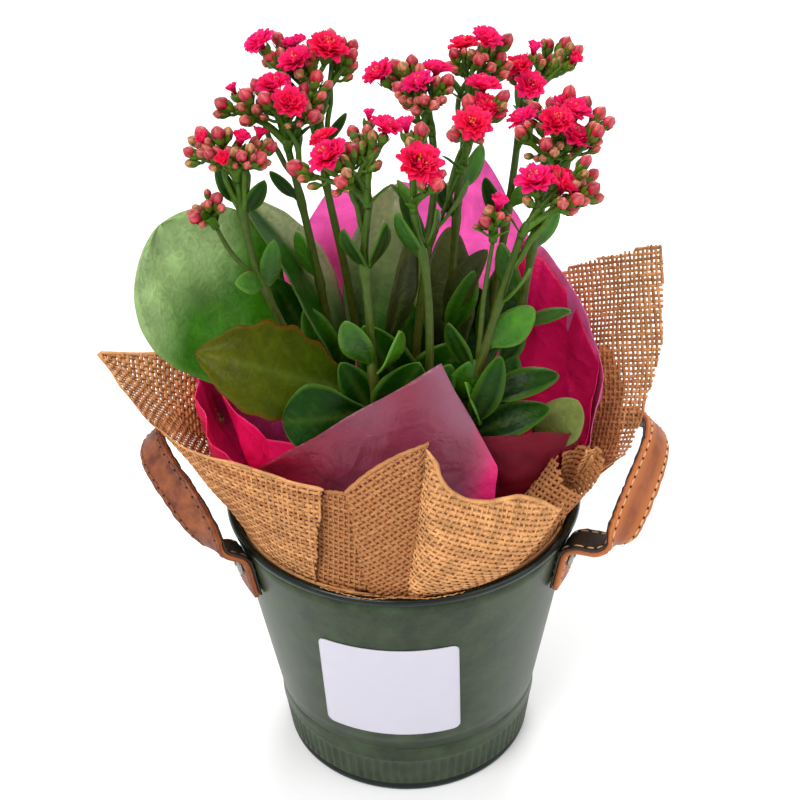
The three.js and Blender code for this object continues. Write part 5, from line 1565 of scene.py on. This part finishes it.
def floret_shape(body, base, axis, radius, cup, tone, random, slot):
    """A double floret: six layers of petals that rise from one throat and flare into a full rosette."""
    axis, side, other = basis(axis)
    hue = rgb(tone)
    for layer, (number, size, tilt) in enumerate(PETAL_LAYERS):
        for k in range(number):
            turn = TURN * (k + random.uniform(-0.3, 0.3)) / number + layer * 1.9
            lean = math.radians(tilt * (1 - 0.62 * cup) + random.uniform(-8, 8))
            length = radius * size * random.uniform(0.9, 1.06) * (1 + 0.1 * cup)
            out = way_round(turn, side, other)
            petal_shape(body, base, axis, out, turn, lean, length, radius, hue, random, slot)
    if cup < 0.2:
        for _ in range(6):
            turn, lean = random.uniform(0, TURN), random.uniform(0.05, 0.35)
            way = way_round(lean, axis, way_round(turn, side, other))
            stamen = [base + way * radius * r for r in (0.4, 0.7, 0.86)]
            body.add(*tube(stamen, [0.16, 0.2, 0.3], 5), slot=slot, own=rgb("#e8b04a"))


def calyx_shape(body, low, high, radius, random, slot):
    """The green tube under a bud or floret, with four pointed sepals that part at its top."""
    axis, side, other = basis(high - low)
    length = np.linalg.norm(high - low)
    stations = np.array([0, 0.2, 0.45, 0.7, 0.9, 1.0])
    widths = np.array([0.42, 0.6, 0.92, 1.0, 0.92, 0.8]) * radius
    green, ripe, sides = rgb("#44660c"), rgb("#80702c"), 10
    mix = np.repeat(stations**2, sides)[:, None] * random.uniform(0.2, 0.8)
    own = (green + (ripe - green) * mix) * random.uniform(0.85, 1.2)
    body.add(*tube([low + axis * length * t for t in stations], widths, sides), slot=slot, own=own)
    spin = random.uniform(0, 2)
    for k in range(4):
        out = way_round(spin + k * math.pi / 2, side, other)
        across = np.cross(axis, out)
        leaf = []
        for t in np.linspace(0, 1, 5):
            width = 0.5 * radius * math.sin(math.pi * (0.25 + 0.72 * t))
            spot = low + axis * length * (0.5 + 0.75 * t) + out * radius * (1.02 + 0.22 * t)
            leaf += [spot - across * width, spot + out * 0.12, spot + across * width]
        body.add(leaf, grid_faces(5, 3), slot=slot, own=green * random.uniform(0.9, 1.5))


def bud_shape(body, centre, axis, radius, tone, random, slot):
    """A bud: four overlapping petals wound to a blunt tip."""
    axis, side, other = basis(axis)
    hue, tip = rgb(tone), rgb("#f08a86")
    stations = np.array([-0.95, -0.7, -0.35, 0.0, 0.35, 0.68, 0.92, 1.12, 1.26])
    widths = np.array([0.5, 0.78, 0.96, 1.0, 0.95, 0.76, 0.52, 0.24, 0.04])
    sides = 12
    angles = np.arange(sides) * TURN / sides
    spin = random.uniform(0, 6)
    rings, tones = [], []
    for z, w in zip(stations, widths):
        phase = 4 * angles + 1.6 * z + spin
        swell = radius * w * (1 + 0.09 * np.cos(phase))
        ring = np.outer(np.cos(angles) * swell, side) + np.outer(np.sin(angles) * swell, other)
        rings.append(centre + ring + axis * z * radius)
        # The bud is painted paler towards its tip as a painted highlight, and darker in the grooves between
        # its petals as painted shade.
        lit = np.clip((z - 0.1) / 1.3, 0, 1) * 0.45
        tones.append((hue + (tip - hue) * lit) * (0.78 + 0.34 * np.cos(phase))[:, None])
    own = np.concatenate(tones) * random.uniform(0.85, 1.15)
    body.add(np.concatenate(rings), capped_faces(len(stations), sides), slot=slot, own=own)


def bloom_place(head, entry, order):
    """Where a bloom stands: seen from the camera at its listed x and z, nearer or further by turns."""
    back = (entry[1] - head["z"]) / (VIEW_SLOPE + VIEW_REACH * LAY_BACK)
    reach = back + 5 * math.sin(order * 2.4)
    return np.array([entry[0], head["y"] + VIEW_REACH * reach, entry[1] - VIEW_SLOPE * reach])


def head_seat(name, head):
    """The way a head's stem or twig ends, and the place where the head sits on it."""
    plan = STEMS[name[0]]
    path = np.array((plan["twigs"][0] if head.get("twig") else plan["path"])[-2:], float)
    along = unit(path[1] - path[0])
    return along, path[1] + along * GAP


def stalk_shape(body, path, thick, thin, random, slot):
    """A thin curved stalk; returns the points of its middle line."""
    centres = smooth_path(path, 9)
    own = rgb("#426212") * random.uniform(0.75, 1.25)
    body.add(*tube(centres, np.linspace(thick, thin, 9), 7), slot=slot, own=own)
    return centres


def bract_shape(body, base, tip, lean, half, random, slot):
    """A narrow pointed leaflet where stalks part."""
    along = unit(tip - base)
    across = unit(np.cross(along, lean))
    lift = np.cross(across, along)
    length = np.linalg.norm(tip - base)
    t = np.linspace(0, 1, 9)[:, None]
    s = np.linspace(-1, 1, 5)[None, :]
    width = half * np.sin(np.pi * (0.06 + 0.9 * t)) ** 0.8
    centre = base + along * (length * t)[..., None]
    points = centre + across * (s * width)[..., None] + lift * (0.4 * width * s**2 - 1.5 * t**2)[..., None]
    own = rgb("#406a14") * np.repeat(0.8 + 0.4 * t, 5, axis=0) * random.uniform(0.8, 1.2)
    body.add(points, grid_faces(9, 5), slot=slot, own=own)


def fork_shape(body, seat, along, lean, near, crowded, random, slot):
    """Stalks from the knot to where a few blooms part, with a bract; returns that fork and its way."""
    parting = seat + lean * CORE_LENGTH * random.uniform(0.3, 0.75)
    fork = parting + (sum(near) / len(near) - parting) * 0.42 - lean
    stalk_shape(body, [parting - lean * 2, (parting + fork) / 2 - lean * 0.6, fork], 1.6, 1.2, random, slot)
    if crowded:
        aside = unit(fork - seat - along * ((fork - seat) @ along)) * (STEM_RADIUS + 0.6)
        low = seat - along * random.uniform(8, 16)
        bow = [low, (2 * low + seat) / 3 + aside * 0.75, seat + aside * 1.4, (seat + fork) / 2 + aside, fork]
        stalk_shape(body, bow, 1.05, 1.05, random, slot)
    tip = fork + unit(fork - seat) * random.uniform(3, 6)
    bract_shape(body, parting, tip, lean, random.uniform(1.3, 2.0), random, slot)
    return fork, unit(fork - parting)


def bloom_shape(body, place, size, fork, lean, tones, random, slots):
    """One bud or floret on its stalk from a fork; returns the stalk's line and the bloom's way out."""
    petal, bud, green = slots
    parting, heading = fork
    out = unit(place - parting)
    if size < OPEN_SIZE:
        radius = BUD_RADIUS * (1.05 if size > 0 else 0.86) * random.uniform(0.86, 1.06)
        axis = unit(out + 0.25 * FACE_TILT)
        top, low = place - axis * 0.55 * radius, place - axis * 2.3 * radius
        calyx = 0.86 * radius
    else:
        radius = BLOOM_RADIUS * size * 1.12
        axis = unit(out + FACE_TILT)
        top, low = place - axis * 0.34 * radius, place - axis * (0.34 * radius + 4.4)
        calyx = 2.1
    bow = (parting + low) / 2 + (heading - lean * 0.3) * 0.08 * np.linalg.norm(low - parting)
    line = stalk_shape(body, [parting - heading, bow, low], 1.05, 0.95, random, green)
    calyx_shape(body, low, top, calyx, random, green)
    if size < OPEN_SIZE:
        bud_shape(body, place, axis, radius, tones[0], random, bud)
    else:
        cup = 0.85 if size < WIDE_SIZE else random.uniform(0.0, 0.25)
        floret_shape(body, top, axis, radius, cup, tones[1], random, petal)
    return line, out


def young_bud(body, start, out, random, slots):
    """A young bud on a thin side stalk."""
    _, bud, green = slots
    small = random.uniform(1.2, 2.15)
    aside = unit(np.cross(out, random.normal(size=3)))
    spot = start + out * random.uniform(3.5, 6.5) + aside * random.uniform(3.4, 4.8)
    way = unit(spot - start + out * 3)
    base = spot - way * 2.6 * small
    stalk_shape(body, [start, (start + base) / 2 + aside * 0.6, base], 0.75, 0.6, random, green)
    calyx_shape(body, base, spot - way * 0.5 * small, 0.9 * small, random, green)
    bud_shape(body, spot, way, small, YOUNG_TONES[int(random.integers(3))], random, bud)


def head_shape(body, name, head, slots):
    """One flower head: stalks parting from a knot, each with a floret or a bud, and young buds between."""
    random = np.random.default_rng(SEED + sum(ord(letter) * (k + 3) for k, letter in enumerate(name)))
    green = slots[2]
    along, seat = head_seat(name, head)
    places = [bloom_place(head, entry, order) for order, entry in enumerate(head["blooms"])]
    lean = unit(along * len(places) + sum(unit(place - seat) for place in places))
    core = [seat + lean * CORE_LENGTH * k for k in (0.0, 0.2, 0.45, 0.7, 0.9)]
    body.add(*tube(core, [1.6, 1.65, 1.8, 1.7, 0.9], 10), slot=green, own=rgb("#3e6010"))
    forks = []
    for first in range(0, len(places), 3):
        near = places[first : first + 3]
        forks += [fork_shape(body, seat, along, lean, near, len(places) > 4, random, green)] * len(near)
    for order, (place, fork) in enumerate(zip(places, forks)):
        size = head["blooms"][order][2]
        tones = (BUD_TONES[(order + len(name)) % len(BUD_TONES)],
                 PETAL_TONES[(order + ord(name[0])) % len(PETAL_TONES)])
        line, out = bloom_shape(body, place, size, fork, lean, tones, random, slots)
        for number in range(3 if size < OPEN_SIZE else 2):
            young_bud(body, line[3 + 2 * number], out, random, slots)
    for _ in range(3):
        way = unit(lean + 0.9 * polar(1.0, random.uniform(0, 360), 0.0))
        tip = seat + way * random.uniform(10, 15)
        bract_shape(body, seat, tip, lean, random.uniform(1.5, 2.3), random, green)


# Panel values


def colour_value(name, description, default):
    """A colour that the panel shows."""
    return FloatVectorProperty(name=name, description=description, subtype="COLOR_GAMMA", size=3,
                               default=default, min=0, max=1)


class KatyColours(bpy.types.PropertyGroup):
    """Colours that a user would change."""

    tin: colour_value("Tin", "Enamel of the tin", (0.18, 0.235, 0.15))
    jute: colour_value("Jute", "Yarns of the hessian", (0.92, 0.67, 0.44))
    tissue: colour_value("Tissue", "Waxed tissue paper", (1.0, 0.1, 0.4))
    leather: colour_value("Leather", "Strap leather", (0.69, 0.38, 0.17))


class KatySizes(bpy.types.PropertyGroup):
    """Sizes that a user would change."""

    strap_steps: IntProperty(name="Strap steps", description="Points along a strap", default=110,
                             min=40, max=300)
    light: FloatProperty(name="Light", description="Strength of the soft studio light",
                         subtype="FACTOR", default=1.0, min=0.1, max=4)


def hex_of(colour):
    """The hex form of a panel colour, which is an sRGB one."""
    return "#" + "".join(f"{round(255 * c):02x}" for c in colour)


def add_piece(name, materials, slot, nodes, shape, *values):
    """Adds a piece with one shape function; returns it, and what that function worked out."""
    body = Body()
    result = shape(body, *values)
    return settle(body.make(name, materials), slot, *nodes), result


# Operators


class KatyStage(bpy.types.Operator):
    """Adds the pale floor, the soft lights and the camera"""

    bl_idname = "katy.stage"
    bl_label = "Stage"

    def execute(self, context):
        scene = context.scene
        bpy.ops.mesh.primitive_grid_add(x_subdivisions=4, y_subdivisions=4, size=9, location=(0, 1.2, 0))
        floor = context.object
        floor.name = "floor"
        paper = plain_finish("Studio paper, matt white", "#f4f4f4", 200, 0.85, strength=0.02, contrast=0.01)
        floor.data.materials.append(paper)
        strength = scene.katy_sizes.light
        scene.world = bpy.data.worlds.new("Soft white studio")
        scene.world.use_nodes = True
        background = scene.world.node_tree.nodes["Background"]
        background.inputs["Color"].default_value = (1, 1, 1, 1)
        background.inputs["Strength"].default_value = WORLD_STRENGTH * strength
        for name, place, size, watts in LAMPS:
            light = bpy.data.lights.new(name, "AREA")
            light.shape = "DISK"
            light.size = size
            light.energy = watts * strength
            lamp = bpy.data.objects.new(name, light)
            lamp.location = place
            lamp.rotation_euler = (Vector(LAMP_AIM) - Vector(place)).to_track_quat("-Z", "Y").to_euler()
            scene.collection.objects.link(lamp)
        scene.view_settings.view_transform = "Standard"
        self.add_camera(scene)
        return {"FINISHED"}

    def add_camera(self, scene):
        """The photo's view: from the front, about 33 degrees down, with a slight roll."""
        pitch, roll = math.radians(CAMERA_PITCH), math.radians(CAMERA_ROLL)
        forward = np.array([0, math.cos(pitch), -math.sin(pitch)])
        right = np.array([1.0, 0, 0])
        up = np.cross(right, forward)
        across = math.cos(roll) * right + math.sin(roll) * up
        above = -math.sin(roll) * right + math.cos(roll) * up
        place = to_metres(np.array(CAMERA_AIM) - CAMERA_DISTANCE * forward)
        data = bpy.data.cameras.new("camera")
        data.lens = 72
        data.sensor_width = 36
        data.clip_start, data.clip_end = 0.01, 30
        camera = bpy.data.objects.new("camera", data)
        turn = Matrix([across, above, -forward]).transposed().to_4x4()
        camera.matrix_world = Matrix.Translation(Vector(place)) @ turn
        scene.collection.objects.link(camera)
        scene.camera = camera


class KatyTin(bpy.types.Operator):
    """Builds the tin: conical wall with its rolled rim, fluted foot, and floor"""

    bl_idname = "katy.tin"
    bl_label = "Tin"

    def execute(self, context):
        enamel = enamelled_tin(hex_of(context.scene.katy_colours.tin))
        # The rim's near-black is partly its dark enamel and partly a painted dark reflection.
        rim = enamelled_tin("#111c16", "Enamelled tin plate, rolled rim, near black", 0.18)
        add_piece("tin_wall_piece", [enamel, rim], "tin_paint", ["tin_wall"], tin_wall_shape)
        add_piece("tin_foot_piece", [enamel, rim], "tin_paint", ["tin_foot"], tin_foot_shape)
        floor = bpy.data.objects["tin_floor"]
        floor.data.materials.clear()
        floor.data.materials.append(rim)
        return {"FINISHED"}


class KatyLabel(bpy.types.Operator):
    """Builds the blank label with rounded corners"""

    bl_idname = "katy.label"
    bl_label = "Label"

    def execute(self, context):
        add_piece("label_card", [coated_card("#c8c5d2")], "label", ["label"], label_shape)
        return {"FINISHED"}


class KatyStraps(bpy.types.Operator):
    """Builds the strap handles: leather, lining, stitches and split pins"""

    bl_idname = "katy.straps"
    bl_label = "Straps"

    def execute(self, context):
        hide = tanned_leather(hex_of(context.scene.katy_colours.leather))
        rubber = plain_finish("Rubberised lining, black", "#1d1a18", 2.0, 0.55, strength=0.5, contrast=0.35,
                              depth_mm=0.2)
        thread = plain_finish("Waxed linen thread, sewn", "#c99a66", 0.8, 0.6, strength=0.6, depth_mm=0.1)
        # The left strap's darker thread is painted shade.
        shaded_thread = plain_finish("Waxed linen thread, darkened as painted shade", "#7c4c28", 0.8, 0.6, strength=0.6, depth_mm=0.1)
        hole = plain_finish("Stitch hole, punched, painted shade", "#170c06", 1.0, 0.9)
        steel = plain_finish("Steel wire, zinc plated", "#8f8c86", 1.5, 0.38, metal=1.0, strength=0.2)
        count = context.scene.katy_sizes.strap_steps
        under = -(LEATHER + LINING) / 2 - GAP
        for side, hand in (("right", 1), ("left", -1)):
            frames = strap_frames(LOOPS[side], count, hand)
            # The left strap's leather is darkened all over: painted shade.
            add_piece(f"leather_{side}", [hide], "strap_leather", [f"strap_leather_{side}"],
                      strap_band, frames, LEATHER, 0, 3, 0.0 if hand > 0 else 1.2)
            add_piece(f"lining_{side}", [rubber], "strap_lining", [f"strap_lining_{side}"],
                      strap_band, frames, LINING, under + 0.1, 4)
            add_piece(f"stitches_{side}", [thread if hand > 0 else shaded_thread, hole], "strap_leather", [],
                      strap_stitches, frames, (LEATHER / 2 + 0.1, under - LINING / 2))
        for name, azimuth in RIVET_AZIMUTHS.items():
            flip = 1 if name in ("right_front", "left_back") else -1
            add_piece(f"split_pin_{name}", [steel], "rivet", [f"rivet_{name}"], rivet_shape, azimuth, flip)
        return {"FINISHED"}


class KatyHessian(bpy.types.Operator):
    """Builds the hessian wrap"""

    bl_idname = "katy.hessian"
    bl_label = "Hessian"

    def execute(self, context):
        jute = spun_jute(hex_of(context.scene.katy_colours.jute))
        kind = ([jute], "hessian", ["hessian_wrap"])
        cup, _ = add_piece("hessian_cup", *kind, cup_shape)
        for number, (name, plan) in enumerate(PANELS.items()):
            piece, size = add_piece(f"hessian_{name}", *kind, weave_panel, plan, number)
            edges = []
            if name in EDGED_PANELS:
                edges = [add_piece(f"hessian_{name}_edge", *kind, turned_edge, plan, 100 + number)[0]]
            if "doubled" in plan:
                piece, size = add_piece(f"hessian_{name}_under", *kind, second_layer, plan)
        return {"FINISHED"}


class KatyTissue(bpy.types.Operator):
    """Builds the pink tissue inside the hessian"""

    bl_idname = "katy.tissue"
    bl_label = "Tissue"

    def execute(self, context):
        colour = hex_of(context.scene.katy_colours.tissue)
        looks = {look: tissue_paper(f"Waxed tissue paper, {words}", own or colour, *rest)
                 for look, (words, own, *rest) in TISSUE_LOOKS.items()}
        for name, plan in TISSUE_LEAVES.items():
            piece, size = add_piece(f"tissue_{name}", [looks[plan["look"]]], "tissue", ["tissue_wrap"],
                                    tissue_leaf, plan)
        return {"FINISHED"}


class KatyPot(bpy.types.Operator):
    """Builds the nursery pot and the compost in it"""

    bl_idname = "katy.pot"
    bl_label = "Pot and compost"

    def execute(self, context):
        plastic = plain_finish("Polypropylene, moulded, black", "#2a2a28", 1.2, 0.5, strength=0.25)
        peat = plain_finish("Peat compost, loose", "#3a2a1e", 1.6, 0.95, strength=1.0, contrast=0.6,
                            depth_mm=0.8)
        add_piece("pot_moulded", [plastic], "pot", ["nursery_pot"], pot_shape)
        add_piece("compost", [peat], "soil", ["soil"], soil_shape)
        return {"FINISHED"}


class KatyStems(bpy.types.Operator):
    """Builds the leafy stems"""

    bl_idname = "katy.stems"
    bl_label = "Leafy stems"

    def execute(self, context):
        blade = succulent_leaf("Kalanchoe leaf, waxy and thick")
        flesh = living_tissue("Kalanchoe stem, fleshy", 0.42, 0.06, speckle_mm=3, specular=0.25)
        for letter, plan in STEMS.items():
            add_piece(f"leafy_stem_{letter}", [blade, flesh], "leaf", [f"stem_{letter}"],
                      plant_shape, letter, plan)
        return {"FINISHED"}


class KatyHeads(bpy.types.Operator):
    """Builds the flower heads of double florets and buds"""

    bl_idname = "katy.heads"
    bl_label = "Flower heads"

    def execute(self, context):
        petal = living_tissue("Kalanchoe petal, velvety", 0.6, 0.42, specular=0.15)
        bud = living_tissue("Kalanchoe bud, smooth", 0.4, 0.12)
        green = living_tissue("Flower stalk and calyx, fleshy", 0.45, 0.1, specular=0.25)
        for name, head in HEADS.items():
            add_piece(f"truss_{name}", [petal, bud, green], "flower", [f"head_{name}"],
                      head_shape, name, head, (0, 1, 2))
        return {"FINISHED"}


STEPS = (KatyStage, KatyTin, KatyLabel, KatyStraps, KatyHessian, KatyTissue, KatyPot, KatyStems, KatyHeads)


class KatyPanel(bpy.types.Panel):
    """Lists the steps and the values in the 3D view's sidebar"""

    bl_idname = "VIEW3D_PT_katy"
    bl_label = "Potted flaming katy"
    bl_space_type = "VIEW_3D"
    bl_region_type = "UI"
    bl_category = "Katy"

    def draw(self, context):
        for step in STEPS:
            self.layout.operator(step.bl_idname)
        for name in KatyColours.__annotations__:
            self.layout.prop(context.scene.katy_colours, name)
        for name in KatySizes.__annotations__:
            self.layout.prop(context.scene.katy_sizes, name)


CLASSES = (KatyColours, KatySizes, *STEPS, KatyPanel)


def register():
    for cls in CLASSES:
        bpy.utils.register_class(cls)
    bpy.types.Scene.katy_colours = PointerProperty(type=KatyColours)
    bpy.types.Scene.katy_sizes = PointerProperty(type=KatySizes)


def unregister():
    del bpy.types.Scene.katy_sizes
    del bpy.types.Scene.katy_colours
    for cls in reversed(CLASSES):
        bpy.utils.unregister_class(cls)


def main():
    register()
    for step in STEPS:
        family, action = step.bl_idname.split(".")
        getattr(getattr(bpy.ops, family), action)()


if __name__ == "__main__":
    main()
